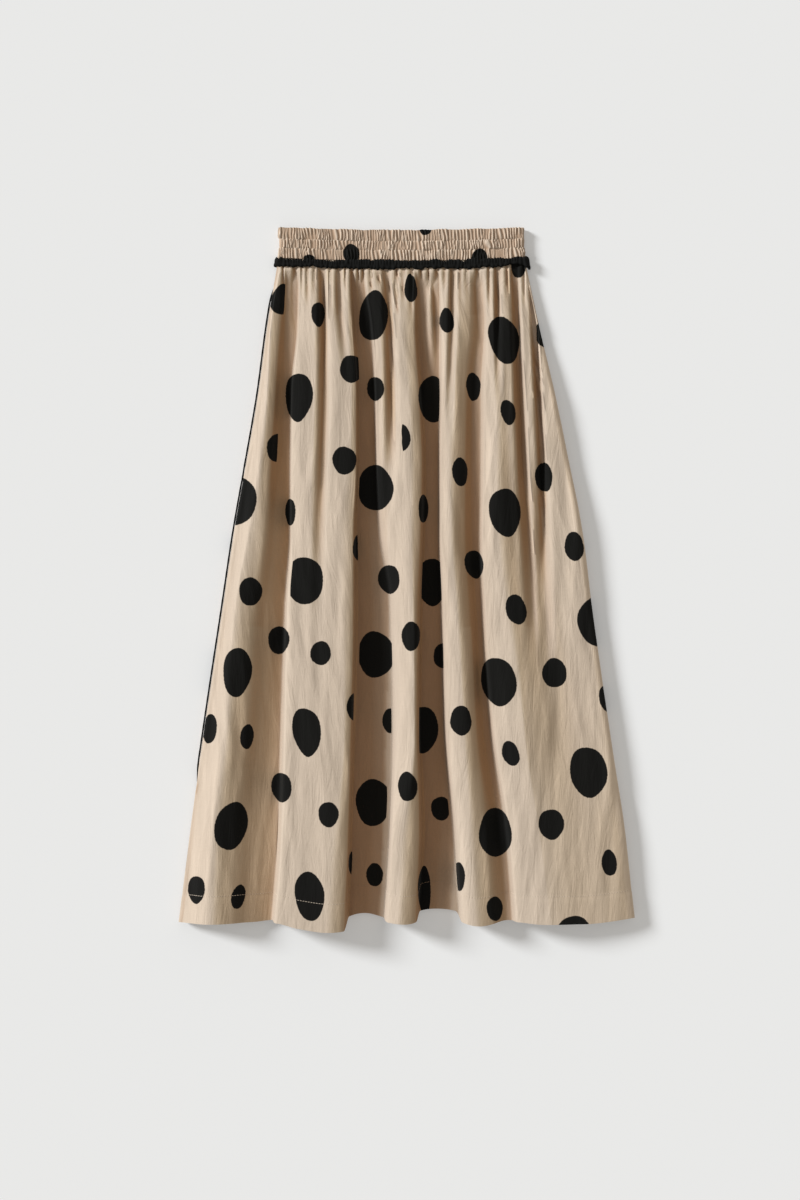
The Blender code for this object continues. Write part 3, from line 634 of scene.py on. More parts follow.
def cloth_material(name, dots=True, bump=1.0):
    """Plain weave with slubs, a soft nap, the black print, and painted shade: warm and dark deep between the folds,
    yellower away from the key light, darker on steep sides that face it.
    """
    material = bpy.data.materials.new(name)
    material.use_nodes = True
    tree = material.node_tree
    shader = tree.nodes["Principled BSDF"]
    shader.inputs["Roughness"].default_value = 0.92
    shader.inputs["Sheen Weight"].default_value = 0.035
    shader.inputs["Sheen Roughness"].default_value = 0.5
    shader.inputs["Specular IOR Level"].default_value = 0.12
    weave = node(tree, "ShaderNodeAttribute", attribute_name="weave_mm")
    along = node(tree, "ShaderNodeMapping")
    along.inputs["Scale"].default_value = (0.9, 0.07, 0.5)
    link(tree, weave.outputs["Vector"], along.inputs["Vector"])
    warp = node(tree, "ShaderNodeTexNoise")
    warp.inputs["Scale"].default_value = 1.0
    warp.inputs["Detail"].default_value = 3.0
    link(tree, along.outputs["Vector"], warp.inputs["Vector"])
    over = node(tree, "ShaderNodeMapping")
    over.inputs["Scale"].default_value = (0.06, 1.1, 0.5)
    link(tree, weave.outputs["Vector"], over.inputs["Vector"])
    weft = node(tree, "ShaderNodeTexNoise")
    weft.inputs["Scale"].default_value = 1.0
    weft.inputs["Detail"].default_value = 3.0
    link(tree, over.outputs["Vector"], weft.inputs["Vector"])
    slub = node(tree, "ShaderNodeMath", operation="ADD")
    link(tree, warp.outputs["Fac"], slub.inputs[0])
    link(tree, weft.outputs["Fac"], slub.inputs[1])
    # threads of the plain weave, 2.2 a mm
    split = node(tree, "ShaderNodeSeparateXYZ")
    link(tree, weave.outputs["Vector"], split.inputs["Vector"])
    waves = []
    for axis in ("X", "Y"):
        scaled = node(tree, "ShaderNodeMath", operation="MULTIPLY")
        link(tree, split.outputs[axis], scaled.inputs[0])
        scaled.inputs[1].default_value = 2 * math.pi * 2.2
        wave = node(tree, "ShaderNodeMath", operation="SINE")
        link(tree, scaled.outputs[0], wave.inputs[0])
        waves.append(wave)
    weave_height = node(tree, "ShaderNodeMath", operation="MULTIPLY")
    link(tree, waves[0].outputs[0], weave_height.inputs[0])
    link(tree, waves[1].outputs[0], weave_height.inputs[1])
    # cloudy variation of the undyed ground
    cloud = node(tree, "ShaderNodeTexNoise")
    cloud.inputs["Scale"].default_value = 0.02
    cloud.inputs["Detail"].default_value = 4.0
    link(tree, weave.outputs["Vector"], cloud.inputs["Vector"])

    tint = node(tree, "ShaderNodeMapRange")
    tint.inputs["From Min"].default_value = 0.7
    tint.inputs["From Max"].default_value = 1.3
    tint.inputs["To Min"].default_value = 0.968
    tint.inputs["To Max"].default_value = 1.032
    link(tree, slub.outputs[0], tint.inputs["Value"])
    tint2 = node(tree, "ShaderNodeMapRange")
    tint2.inputs["From Min"].default_value = 0.3
    tint2.inputs["From Max"].default_value = 0.7
    tint2.inputs["To Min"].default_value = 0.975
    tint2.inputs["To Max"].default_value = 1.025
    link(tree, cloud.outputs["Fac"], tint2.inputs["Value"])
    clouds = node(tree, "ShaderNodeMath", operation="MULTIPLY")
    link(tree, tint.outputs["Result"], clouds.inputs[0])
    link(tree, tint2.outputs["Result"], clouds.inputs[1])
    # painted shade: the steep sides that face the key light are a little darker; where the value goes below 0, on the
    # right roll, it is painted light instead
    painted_side_shading = node(tree, "ShaderNodeAttribute", attribute_name="painted_side_shading")
    painted_side_shading_tint = node(tree, "ShaderNodeMapRange", clamp=False)
    painted_side_shading_tint.inputs["To Min"].default_value = 1.0
    painted_side_shading_tint.inputs["To Max"].default_value = 0.80
    link(tree, painted_side_shading.outputs["Fac"], painted_side_shading_tint.inputs["Value"])
    both = node(tree, "ShaderNodeMath", operation="MULTIPLY")
    link(tree, clouds.outputs[0], both.inputs[0])
    link(tree, painted_side_shading_tint.outputs["Result"], both.inputs[1])

    # painted shade: warm and dark where the cloth lies shut in between folds
    depth = node(tree, "ShaderNodeAttribute", attribute_name="painted_shade")
    ground_with_shade = node(tree, "ShaderNodeMix", data_type="RGBA")
    ground_with_shade.inputs["A"].default_value = CLOTH
    ground_with_shade.inputs["B"].default_value = CLOTH_PAINTED_SHADE
    link(tree, depth.outputs["Fac"], ground_with_shade.inputs["Factor"])
    # painted shade: the sides that slope to the right, away from the key light, are tinted yellower and darker
    turned = node(tree, "ShaderNodeAttribute", attribute_name="away")
    away_shade_mix = node(tree, "ShaderNodeMix", data_type="RGBA")
    away_shade_mix.inputs["A"].default_value = (1.0, 1.0, 1.0, 1.0)
    away_shade_mix.inputs["B"].default_value = AWAY_PAINTED_SHADE
    link(tree, turned.outputs["Fac"], away_shade_mix.inputs["Factor"])
    tinted = node(tree, "ShaderNodeVectorMath", operation="MULTIPLY")
    link(tree, ground_with_shade.outputs["Result"], tinted.inputs[0])
    link(tree, away_shade_mix.outputs["Result"], tinted.inputs[1])
    shaded = node(tree, "ShaderNodeVectorMath", operation="SCALE")
    link(tree, tinted.outputs[0], shaded.inputs[0])
    link(tree, both.outputs[0], shaded.inputs["Scale"])
    colour = shaded.outputs[0]
    if dots:
        field = node(tree, "ShaderNodeAttribute", attribute_name="dot_mm")
        rough_edge = node(tree, "ShaderNodeTexNoise")
        rough_edge.inputs["Scale"].default_value = 0.35
        rough_edge.inputs["Detail"].default_value = 3.0
        link(tree, weave.outputs["Vector"], rough_edge.inputs["Vector"])
        wobble = node(tree, "ShaderNodeMapRange")
        wobble.inputs["To Min"].default_value = -0.7
        wobble.inputs["To Max"].default_value = 0.7
        link(tree, rough_edge.outputs["Fac"], wobble.inputs["Value"])
        total = node(tree, "ShaderNodeMath", operation="ADD")
        link(tree, field.outputs["Fac"], total.inputs[0])
        link(tree, wobble.outputs["Result"], total.inputs[1])
        inside = node(tree, "ShaderNodeMapRange", interpolation_type="SMOOTHSTEP")
        inside.inputs["From Min"].default_value = -0.45
        inside.inputs["From Max"].default_value = 0.45
        inside.inputs["To Min"].default_value = 1.0
        inside.inputs["To Max"].default_value = 0.0
        link(tree, total.outputs[0], inside.inputs["Value"])
        ink = node(tree, "ShaderNodeVectorMath", operation="SCALE")
        ink.inputs[0].default_value = INK[:3]
        link(tree, both.outputs[0], ink.inputs["Scale"])
        printed = node(tree, "ShaderNodeMix", data_type="RGBA")
        link(tree, inside.outputs["Result"], printed.inputs["Factor"])
        link(tree, colour, printed.inputs["A"])
        link(tree, ink.outputs[0], printed.inputs["B"])
        colour = printed.outputs["Result"]
    link(tree, colour, shader.inputs["Base Color"])

    height = node(tree, "ShaderNodeMath", operation="MULTIPLY_ADD")
    link(tree, weave_height.outputs[0], height.inputs[0])
    height.inputs[1].default_value = 0.12
    link(tree, slub.outputs[0], height.inputs[2])
    # small crumples that run down the cloth, too fine for its mesh
    normal = None
    for scale, distance, amount in (((0.12, 0.019, 0.1), 0.0016, 0.46), ((0.30, 0.058, 0.2), 0.0007, 0.26)):
        place_it = node(tree, "ShaderNodeMapping")
        place_it.inputs["Scale"].default_value = scale
        link(tree, weave.outputs["Vector"], place_it.inputs["Vector"])
        crumple = node(tree, "ShaderNodeTexNoise")
        crumple.inputs["Scale"].default_value = 1.0
        crumple.inputs["Detail"].default_value = 3.0
        crumple.inputs["Roughness"].default_value = 0.55
        crumple.inputs["Distortion"].default_value = 1.0
        link(tree, place_it.outputs["Vector"], crumple.inputs["Vector"])
        dented = node(tree, "ShaderNodeBump")
        dented.inputs["Strength"].default_value = amount * bump
        dented.inputs["Distance"].default_value = distance
        link(tree, crumple.outputs["Fac"], dented.inputs["Height"])
        if normal is not None:
            link(tree, normal, dented.inputs["Normal"])
        normal = dented.outputs["Normal"]
    raised = node(tree, "ShaderNodeBump")
    raised.inputs["Strength"].default_value = 0.35 * bump
    raised.inputs["Distance"].default_value = 0.00035
    link(tree, height.outputs[0], raised.inputs["Height"])
    link(tree, normal, raised.inputs["Normal"])
    link(tree, raised.outputs["Normal"], shader.inputs["Normal"])
    return material


def black_material(name, roughness=0.7, sheen=0.1, scale=900.0, strength=0.5):
    """Black gathered braid or cord: fine uneven ribs and a dull sheen."""
    material = bpy.data.materials.new(name)
    material.use_nodes = True
    tree = material.node_tree
    shader = tree.nodes["Principled BSDF"]
    shader.inputs["Roughness"].default_value = roughness
    shader.inputs["Sheen Weight"].default_value = sheen
    shader.inputs["Specular IOR Level"].default_value = 0.09
    where = node(tree, "ShaderNodeTexCoord")
    grain = node(tree, "ShaderNodeTexNoise")
    grain.inputs["Scale"].default_value = scale
    grain.inputs["Detail"].default_value = 4.0
    link(tree, where.outputs["Object"], grain.inputs["Vector"])
    ramp = node(tree, "ShaderNodeMapRange")
    ramp.inputs["To Min"].default_value = 0.6
    ramp.inputs["To Max"].default_value = 1.6
    link(tree, grain.outputs["Fac"], ramp.inputs["Value"])
    colour = node(tree, "ShaderNodeVectorMath", operation="SCALE")
    colour.inputs[0].default_value = (0.0062, 0.0062, 0.0058)
    link(tree, ramp.outputs["Result"], colour.inputs["Scale"])
    link(tree, colour.outputs[0], shader.inputs["Base Color"])
    raised = node(tree, "ShaderNodeBump")
    raised.inputs["Strength"].default_value = strength
    raised.inputs["Distance"].default_value = 0.0004
    link(tree, grain.outputs["Fac"], raised.inputs["Height"])
    link(tree, raised.outputs["Normal"], shader.inputs["Normal"])
    return material


def thread_material(name, colour):
    material = bpy.data.materials.new(name)
    material.use_nodes = True
    tree = material.node_tree
    shader = tree.nodes["Principled BSDF"]
    shader.inputs["Roughness"].default_value = 0.6
    shader.inputs["Sheen Weight"].default_value = 0.2
    where = node(tree, "ShaderNodeTexCoord")
    twist = node(tree, "ShaderNodeTexNoise")
    twist.inputs["Scale"].default_value = 1500.0
    link(tree, where.outputs["Object"], twist.inputs["Vector"])
    ramp = node(tree, "ShaderNodeMapRange")
    ramp.inputs["To Min"].default_value = 0.8
    ramp.inputs["To Max"].default_value = 1.15
    link(tree, twist.outputs["Fac"], ramp.inputs["Value"])
    depth = node(tree, "ShaderNodeAttribute", attribute_name="painted_shade")
    ground_with_shade = node(tree, "ShaderNodeMix", data_type="RGBA")
    ground_with_shade.inputs["A"].default_value = colour
    ground_with_shade.inputs["B"].default_value = CLOTH_PAINTED_SHADE
    link(tree, depth.outputs["Fac"], ground_with_shade.inputs["Factor"])
    tinted = node(tree, "ShaderNodeVectorMath", operation="SCALE")
    link(tree, ground_with_shade.outputs["Result"], tinted.inputs[0])
    link(tree, ramp.outputs["Result"], tinted.inputs["Scale"])
    link(tree, tinted.outputs[0], shader.inputs["Base Color"])
    return material


# ------------------------------------------------------------------ front panel
def fine_steps():
    longest = None
    for drop in (12, 120, 250, 415, 570, 690, 800):
        knots = front_knots(drop)
        length = np.hypot(*np.diff(knots, axis=0).T)
        longest = length if longest is None else np.maximum(longest, length)
    spacing = 2.75
    steps = [max(2, int(round(v / spacing))) for v in longest]
    if sum(steps) % 2:
        steps[int(np.argmax(longest))] += 1
    return steps


def fine_drops():
    count = 259
    u = np.linspace(0, 1, count)
    return 0.3 + (800 - 0.3) * (0.82 * u + 0.18 * u**2.2)


STEPS = fine_steps()
DROPS = fine_drops()


def front_grid():
    sections = [front_section(drop, STEPS) for drop in DROPS]
    return place(sections, hem_end(sections[-1][:, 0]), DROPS)


def wrinkled(grid, arc):
    """Soft uneven creasing along the folds, stronger on the flat right side."""
    normal = normals_of(grid, 1)
    drop = np.broadcast_to(DROPS[:, None], arc.shape)
    x = grid[..., 0]
    up = np.clip(normal[..., 2], 0, 1) ** 2
    height = np.zeros_like(arc)
    height += 0.55 * value_noise(arc, drop, 13, 120, 11)
    height += 0.30 * value_noise(arc + 0.10 * drop, drop, 7.5, 60, 12)
    height += 0.22 * value_noise(arc - 0.18 * drop, drop, 5.5, 34, 13)
    height += 0.5 * value_noise(arc, drop, 38, 190, 14)
    # sharper lines, as pressed linen keeps them
    height += 0.75 * (0.35 - np.abs(value_noise(arc + 0.05 * drop, drop, 10, 85, 21)))
    height += 0.55 * (0.35 - np.abs(value_noise(arc - 0.13 * drop, drop, 8, 42, 22)))
    calm = 0.45 + 0.25 * value_noise(arc, drop, 70, 150, 15)
    right = ease(150, 215, x) * ease(330, 520, drop)
    height += right * (0.5 * value_noise(arc, drop, 11, 150, 16) + 0.25 * value_noise(arc, drop, 6.5, 70, 17))
    low = float(0)
    keep = ease(14, 70, drop)
    edge = np.minimum(ease(0, 10, arc - arc[:, :1]), ease(0, 10, arc[:, -1:] - arc))
    amount = height * (0.6 + calm) * keep * edge * (0.25 + 0.75 * up) + low
    # the hem is double cloth: calmer, with a faint pucker at its stitch line
    from_edge = (800 - drop) / 800.0 * 790.0
    amount *= 1 - 0.45 * (1 - ease(HEM_TURN - 6, HEM_TURN + 8, from_edge))
    pucker = np.exp(-(((from_edge - HEM_TURN) / 2.2) ** 2))
    amount -= pucker * (0.25 + 0.12 * value_noise(arc, drop, 2.6, 40, 18))
    amount += 0.25 * (1 - ease(HEM_TURN - 2, HEM_TURN + 1.5, from_edge))
    return grid + normal * amount[..., None]


def arc_of(grid):
    step = np.linalg.norm(np.diff(grid, axis=1), axis=2)
    arc = np.concatenate([np.zeros((grid.shape[0], 1)), np.cumsum(step, axis=1)], axis=1)
    middle = int(np.argmin(np.abs(grid[grid.shape[0] // 2, :, 0] - 0.0)))
    return arc - arc[:, middle : middle + 1]


def painted_shade_of(grid):
    """Painted shade amount, 0 on the open tops, 1 deep between folds: how shut in the cloth is."""
    x, z = grid[..., 0], grid[..., 2]
    out = np.zeros_like(z)
    for i in range(grid.shape[0]):
        xs = np.linspace(x[i].min(), x[i].max(), 560)
        order = np.argsort(x[i], kind="stable")
        zs = np.interp(xs, x[i][order], z[i][order])
        shut = np.zeros_like(xs)
        span = xs[1] - xs[0]
        left = np.zeros_like(xs)
        right = np.zeros_like(xs)
        for reach in range(2, 42, 2):
            n = max(1, int(round(reach / span)))
            a = np.concatenate([np.full(n, zs[0]), zs[:-n]])
            b = np.concatenate([zs[n:], np.full(n, zs[-1])])
            left = np.maximum(left, (a - zs) / reach)
            right = np.maximum(right, (b - zs) / reach)
        shut = np.clip(np.arctan(left) / 1.1, 0, 1) * 0.84 + np.clip(np.arctan(right) / 1.1, 0, 1) * 0.16
        out[i] = np.interp(x[i], xs, shut)
    return np.clip((out - 0.03) / 0.64, 0, 1) ** 1.2


def build_front():
    grid = front_grid()
    arc = arc_of(grid)
    drop = np.broadcast_to(DROPS[:, None], arc.shape)
    sideways = normals_of(grid, 1)[..., 0]
    # painted shade amounts, from which way the surface faces and how shut in it lies
    painted_side_shading, away = ease(0.22, 0.80, -sideways), ease(-0.06, 0.30, sideways)
    painted_shade = painted_shade_of(grid) * (1 - 0.5 * painted_side_shading)
    # along the right side's roll the painted valley shade and yellower tint are mostly taken off, and the side shading
    # goes below 0 there as painted light
    roll = 1 - ease(3, 15, grid[..., 0].max(axis=1, keepdims=True) - grid[..., 0])
    painted_shade, away, painted_side_shading = painted_shade * (1 - 0.9 * roll), away * (1 - 0.6 * roll), painted_side_shading - roll
    grid = wrinkled(grid, arc)
    dots = dot_field(grid, DOTS, 5)
    weave = np.stack([arc, drop, np.zeros_like(arc)], axis=2)
    thick = WALL + HEM_EXTRA * ease(800 - HEM_TURN - 4, 800 - HEM_TURN + 1, DROPS)
    fields = {"dot_mm": dots, "weave_mm": weave, "painted_shade": painted_shade, "painted_side_shading": painted_side_shading, "away": away}
    return shell_of("front_cloth", grid, thick, 1, fields), grid, painted_shade


# ------------------------------------------------------------------ back panel
def room_under_front(x, drop):
    room = np.full(len(x), 99.0)
    for d in (max(drop - 14, 12), drop, min(drop + 14, 800)):
        front = front_section(d, STEPS)
        for i, spot in enumerate(x):
            near = front[np.abs(front[:, 0] - spot) < BACK_CLEAR, 1]
            if len(near):
                room[i] = min(room[i], near.min())
    return room - 2 * 1.2 - 0.6 - GAP - 0.9


def back_section(drop, across):
    drop = max(drop, 12)
    low, _, _ = roll(drop)
    left = seam_angle(-1, drop) + seam_half_gap(drop)
    right = seam_angle(1, drop) + seam_half_gap(drop)
    shares = np.linspace(0, 1, 6, endpoint=False)
    sides = [
        [roll_point(-1, drop, left + (180 - left) * u) for u in shares],
        [roll_point(1, drop, right + (180 - right) * u) for u in shares[::-1]],
    ]
    x0, x1 = roll_point(-1, drop, 180)[0], roll_point(1, drop, 180)[0]
    x = x0 + (x1 - x0) * across
    bed = lowest(drop)
    bed = bed + (low - bed) * (1 - ease(0, 16, np.minimum(x - x0, x1 - x)))
    z = bed.copy()
    for row in BACK_PLEATS:
        p = dict(zip(PLEAT_COLUMNS, row))
        k = float(ease(p["starts"], p["starts"] + 290, drop))
        rise = p["height"] * (0.12 + 0.88 * k) * float(ease(p["starts"], p["starts"] + 46, drop))
        mid = p["waist_x"] + (p["hem_x"] - p["waist_x"]) * drop / 800.0
        wide = p["width"] * (0.5 + 0.5 * k)
        z += rise * (1 - ease(0.08, 0.5, np.abs(x - mid) / wide))
    # short gathers under the waist seam
    for n in range(34):
        mid = WAIST_MID_X - 140 + n * 8.5 + 1.8 * math.sin(n * 2.7)
        gone = 46 + 30 * (0.5 + 0.5 * math.sin(n * 1.9))
        if drop < gone:
            depth = 2.2 * float(ease(14, 22, drop)) * (1 - float(ease(22, gone, drop)))
            z += depth * (1 - ease(0.1, 1.0, np.abs(x - mid) / (2.4 + drop * 0.02)))
    z = np.maximum(bed, np.minimum(z, room_under_front(x, drop)))
    return np.concatenate([sides[0], np.stack([x, z], axis=1), sides[1]])


def back_dots():
    """The same print, in its plain half-drop repeat, across the back."""
    rows = []
    for column in range(-3, 5):
        x = 398 + column * 62.0
        for k in range(-1, 7):
            y = 250 + k * 168 + (84 if column % 2 else 0)
            rows.append((x, y, 33, 48, 0.0, 0.04, 0, 0))
            rows.append((x + 29, y + 46, 21, 29, 0.05, 0.0, 0, 0))
            rows.append((x - 25, y + 112, 20, 27, -0.05, 0.0, 0, 0))
    return rows


def build_back():
    count = 221
    rows = 121
    across = np.linspace(0, 1, count)
    drops = np.linspace(0.3, 800, rows)
    sections = [back_section(drop, across) for drop in drops]
    x = sections[-1][:, 0]
    side_end = np.where(x < 0, HEM_LINE[0][2], HEM_LINE[-1][2])
    side = np.clip((np.abs(x) - 240.0) / (np.where(x < 0, -x[0], x[-1]) - 240.0), 0, 1)
    grid = place(sections, BACK_END + (side_end - BACK_END) * ease(0, 1, side), drops)
    if grid.shape[1] % 2 == 0:
        grid = np.delete(grid, 8, axis=1)
    arc = arc_of(grid)
    drop = np.broadcast_to(drops[:, None], arc.shape)
    weave = np.stack([arc, drop, np.full_like(arc, 40.0)], axis=2)
    dots = dot_field(grid, back_dots(), 6)
    thick = WALL + HEM_EXTRA * ease(800 - HEM_TURN - 4, 800 - HEM_TURN + 1, drops)
    lifted = np.clip(grid[..., 2] / 14.0, 0, 1) * 0.4
    # painted shade: the whole back panel gets an even 0.35 of the warm shade colour
    obj = shell_of("back_cloth", grid, thick, -1, {"dot_mm": dots, "weave_mm": weave, "painted_shade": 0.35 + lifted * 0})
    return obj, grid, drops


# ------------------------------------------------------------------ waistband
def ring_path(half_width, low, high, spacing_flat, steps_round):
    r = (high - low) / 2
    mid = (high + low) / 2
    straight = half_width - r
    steps_flat = int(round(2 * straight / spacing_flat))
    path = []
    for u in np.linspace(-1, 1, steps_flat, endpoint=False):
        path.append((straight * u, high, 0, 1))
    for a in np.linspace(0, math.pi, steps_round, endpoint=False):
        path.append((straight + r * math.sin(a), mid + r * math.cos(a), math.sin(a), math.cos(a)))
    for u in np.linspace(1, -1, steps_flat, endpoint=False):
        path.append((straight * u, low, 0, -1))
    for a in np.linspace(math.pi, 2 * math.pi, steps_round, endpoint=False):
        path.append((-straight + r * math.sin(a), mid + r * math.cos(a), math.sin(a), math.cos(a)))
    return np.array(path)


CRINKLE_PITCH = 3.9
STITCH_SHARES = (0.0, 0.335, 0.645, 1.0)  # seam, two stitch lines, top edge


def crinkle(s, share):
    """Height of the gathered cloth, 0 to 1: its small folds change step at the stitch lines."""
    total = np.zeros(np.broadcast(s, share).shape)
    down = share * BAND_HEIGHT
    for c in range(3):
        a, b = STITCH_SHARES[c], STITCH_SHARES[c + 1]
        inside = (share >= a) & (share <= b)
        u = np.clip((share - a) / (b - a), 0, 1)
        drift = 2.2 * value_noise(s, np.zeros_like(s), 8.0, 10, 30 + c) + 1.5 * value_noise(s, down, 5.5, 9, 40 + c)
        drift = drift + 3.0 * (share - 0.5) + 1.3 * c
        fold = 0.5 + 0.5 * np.cos(2 * math.pi * (s + drift) / CRINKLE_PITCH)
        drift = 1.6 * value_noise(s, down, 4.5, 7, 60 + c) - 2.0 * share
        finer = 0.5 + 0.5 * np.cos(2 * math.pi * (s + drift) / 2.6)
        blend = ease(-0.35, 0.45, value_noise(s, down, 7.0, 8, 70 + c))
        ridge = (fold * (1 - 0.55 * blend) + finer * 0.55 * blend) ** 1.1
        size = 0.80 + 0.50 * value_noise(s, down, 4.0, 9, 50 + c)
        full = np.sin(math.pi * np.clip(u, 0.0, 1.0)) ** 0.35
        if c == 2:
            full = np.sin(math.pi * np.clip(u * 0.62, 0, 1)) ** 0.35  # stays open at the top edge
        total = np.where(inside, ridge * size * (0.86 + 0.14 * full), total)
    return total


def build_band():
    path = ring_path(BAND_HALF_WIDTH - 0.3, 0.2, BAND_THICK, 0.72, 14)
    if len(path) % 2:
        path = path[:-1]
    rows = 49
    share = np.linspace(0, 1, rows)[:, None]
    x, z, nx, nz = (path[:, k][None, :] for k in range(4))
    step = np.hypot(np.diff(np.append(path[:, 0], path[0, 0])), np.diff(np.append(path[:, 1], path[0, 1])))
    s = np.concatenate([[0], np.cumsum(step)[:-1]])[None, :]
    s = s * (round(step.sum() / CRINKLE_PITCH) * CRINKLE_PITCH / step.sum())
    height = crinkle(np.broadcast_to(s, (rows, s.shape[1])), np.broadcast_to(share, (rows, s.shape[1])))
    lines = np.zeros_like(share)
    for line in STITCH_SHARES[1:3]:
        lines = lines + np.exp(-(((share - line) * BAND_HEIGHT / 1.0) ** 2))
    bulge = sum(
        np.where((share >= a) & (share <= b), np.sin(math.pi * np.clip((share - a) / (b - a), 0, 1)) ** 0.6, 0)
        for a, b in zip(STITCH_SHARES[:-1], STITCH_SHARES[1:])
    )
    under = np.where(nz < -0.5, 0.28, 1.0)
    out = under * (2.1 * height + 0.14 * bulge - 0.20 * lines - 1.9)
    out = np.where(nz < -0.5, np.minimum(out, 0.0) - 0.0, out)
    seam = seam_y(x + WAIST_MID_X) + GAP
    top_wave = 0.5 * value_noise(s, s * 0, 6, 10, 61) + 0.45 * (height[-1:] - 0.5)
    y = seam + BAND_HEIGHT * share + share**6 * top_wave
    # the two ends lean in slightly towards the top
    lean = -0.9 * (share - 0.2) * np.sign(x) * ease(120, 148, np.abs(x))
    px = x + nx * out + WAIST_MID_X + lean
    pz = np.maximum(z + nz * out, 0.12)
    grid = np.stack(np.broadcast_arrays(px, y, pz), axis=2)
    dots = dot_field(grid, BAND_DOTS, 8)
    dots = np.where(np.broadcast_to(nz, dots.shape) < -0.2, 20.0, dots)
    gathered = 1.5
    weave = np.stack(np.broadcast_arrays(s * gathered, share * BAND_HEIGHT, 80.0 + 0 * share), axis=2)
    # painted shade, deeper where the crinkles sit low, lessened in patches along the stitch lines as faint painted
    # light ledges
    painted_shade = np.clip(0.73 - height * 0.86 - 0.22 * lines * ease(-0.5, 0.3, value_noise(s, share * 40, 3.4, 9, 80)), 0.03, 0.8)
    return shell_of("band_cloth_ring", grid, np.full(rows, 0.9), 1 if ring_faces_out(grid) else -1,
                    {"dot_mm": dots, "weave_mm": weave, "painted_shade": painted_shade}, closed=True), grid


def ring_faces_out(grid):
    """True when normals_of(grid, +1) points away from the ring's middle."""
    ring_grid = np.concatenate([grid[:, -2:], grid, grid[:, :2]], axis=1)
    normal = normals_of(ring_grid, 1)[:, 2:-2]
    top = int(np.argmax(grid[0, :, 2]))
    return normal[grid.shape[0] // 2, top, 2] > 0


# ------------------------------------------------------------------ frill
def build_frill():
    """Narrow black gathered braid lying in the seam, all round."""
    left, right = at("side_left", 12), at("side_right", 12)
    mid, half = (left + right) / 2, (right - left) / 2 + GAP
    low, thick, _ = roll(12)
    path = ring_path(half, low - GAP, low + 2 * thick + GAP, 0.75, 12)
    count = len(path)
    s = np.concatenate([[0], np.cumsum(np.hypot(*np.diff(path[:, :2], axis=0).T))])
    profile = (
        # drop from the seam, how far out, how much the ruffles move it
        (0.1, 0.25, 0.0), (-0.2, 1.5, 0.5), (0.9, 2.2, 0.8), (2.2, 2.6, 1.0), (3.6, 2.5, 1.0),
        (5.0, 2.3, 0.8), (6.4, 2.4, 1.0), (7.8, 2.5, 1.0), (8.9, 2.0, 1.0), (9.5, 1.3, 1.0), (9.6, 0.3, 0.9),
    )  # fmt: skip
    ruffle = np.cos(2 * math.pi * (s + 3.2 * value_noise(s, s * 0, 9, 10, 71)) / 6.4)
    ruffle2 = np.cos(2 * math.pi * (s + 2.0 * value_noise(s, s * 0, 7, 10, 72)) / 3.4)
    edge = 0.50 * ruffle + 1.3 * value_noise(s, s * 0, 3.6, 10, 73) + 0.9 * value_noise(s, s * 0, 12, 10, 74)
    upper = 0.60 * ruffle2 + 1.6 * value_noise(s, s * 0, 3.6, 10, 75)
    points, faces = [], []
    size = len(profile)
    for k, (x, z, nx, nz) in enumerate(path):
        seam = float(seam_y(x + mid)) - 0.02
        flare = 0.0
        if nx < -0.3 or (x < -half + 8 and nz > 0):
            flare = 1.8 * float(ease(-half + 9, -half, x))
        # on the right the end of the frill drops and lies past the edge
        tip = float(ease(half - 9, half, x)) if nz > -0.3 else 0.0
        for n, (drop, out, move) in enumerate(profile):
            share = drop / 10.0
            fade = np.clip(share, 0, 1)
            d = drop + edge[k] * fade**1.5 - upper[k] * (1 - fade) ** 2
            d += 3.4 * tip * (0.25 + 0.75 * fade) - 1.6 * float(ease(half - 26, half - 6, x)) * (1 - tip)
            low_step = value_noise(s[k], drop, 2.3, 3.0, 76) + 0.6 * value_noise(s[k], drop, 4.4, 4.5, 77)
            o = out * (1.0 if nz > -0.3 else 0.82) + 0.30 * move * (ruffle[k] if share > 0.5 else ruffle2[k])
            o += 0.42 * move * float(low_step)
            if abs(nx) > 0.3:
                o = o * 0.72 + 1.0 * tip
            if n in (0, size - 1):
                o = 0.12
            px = x + nx * max(o, 0.1)
            px += (-flare if x < 0 else 2.0 * tip) * share
            points.append((px + mid, seam - d, max(z + nz * max(o, 0.1), 0.06)))
    for k in range(count):
        m = (k + 1) % count
        for n in range(size):
            p = (n + 1) % size
            faces.append((k * size + n, k * size + p, m * size + p, m * size + n))
    return new_object("waist_frill", points, faces, 70)


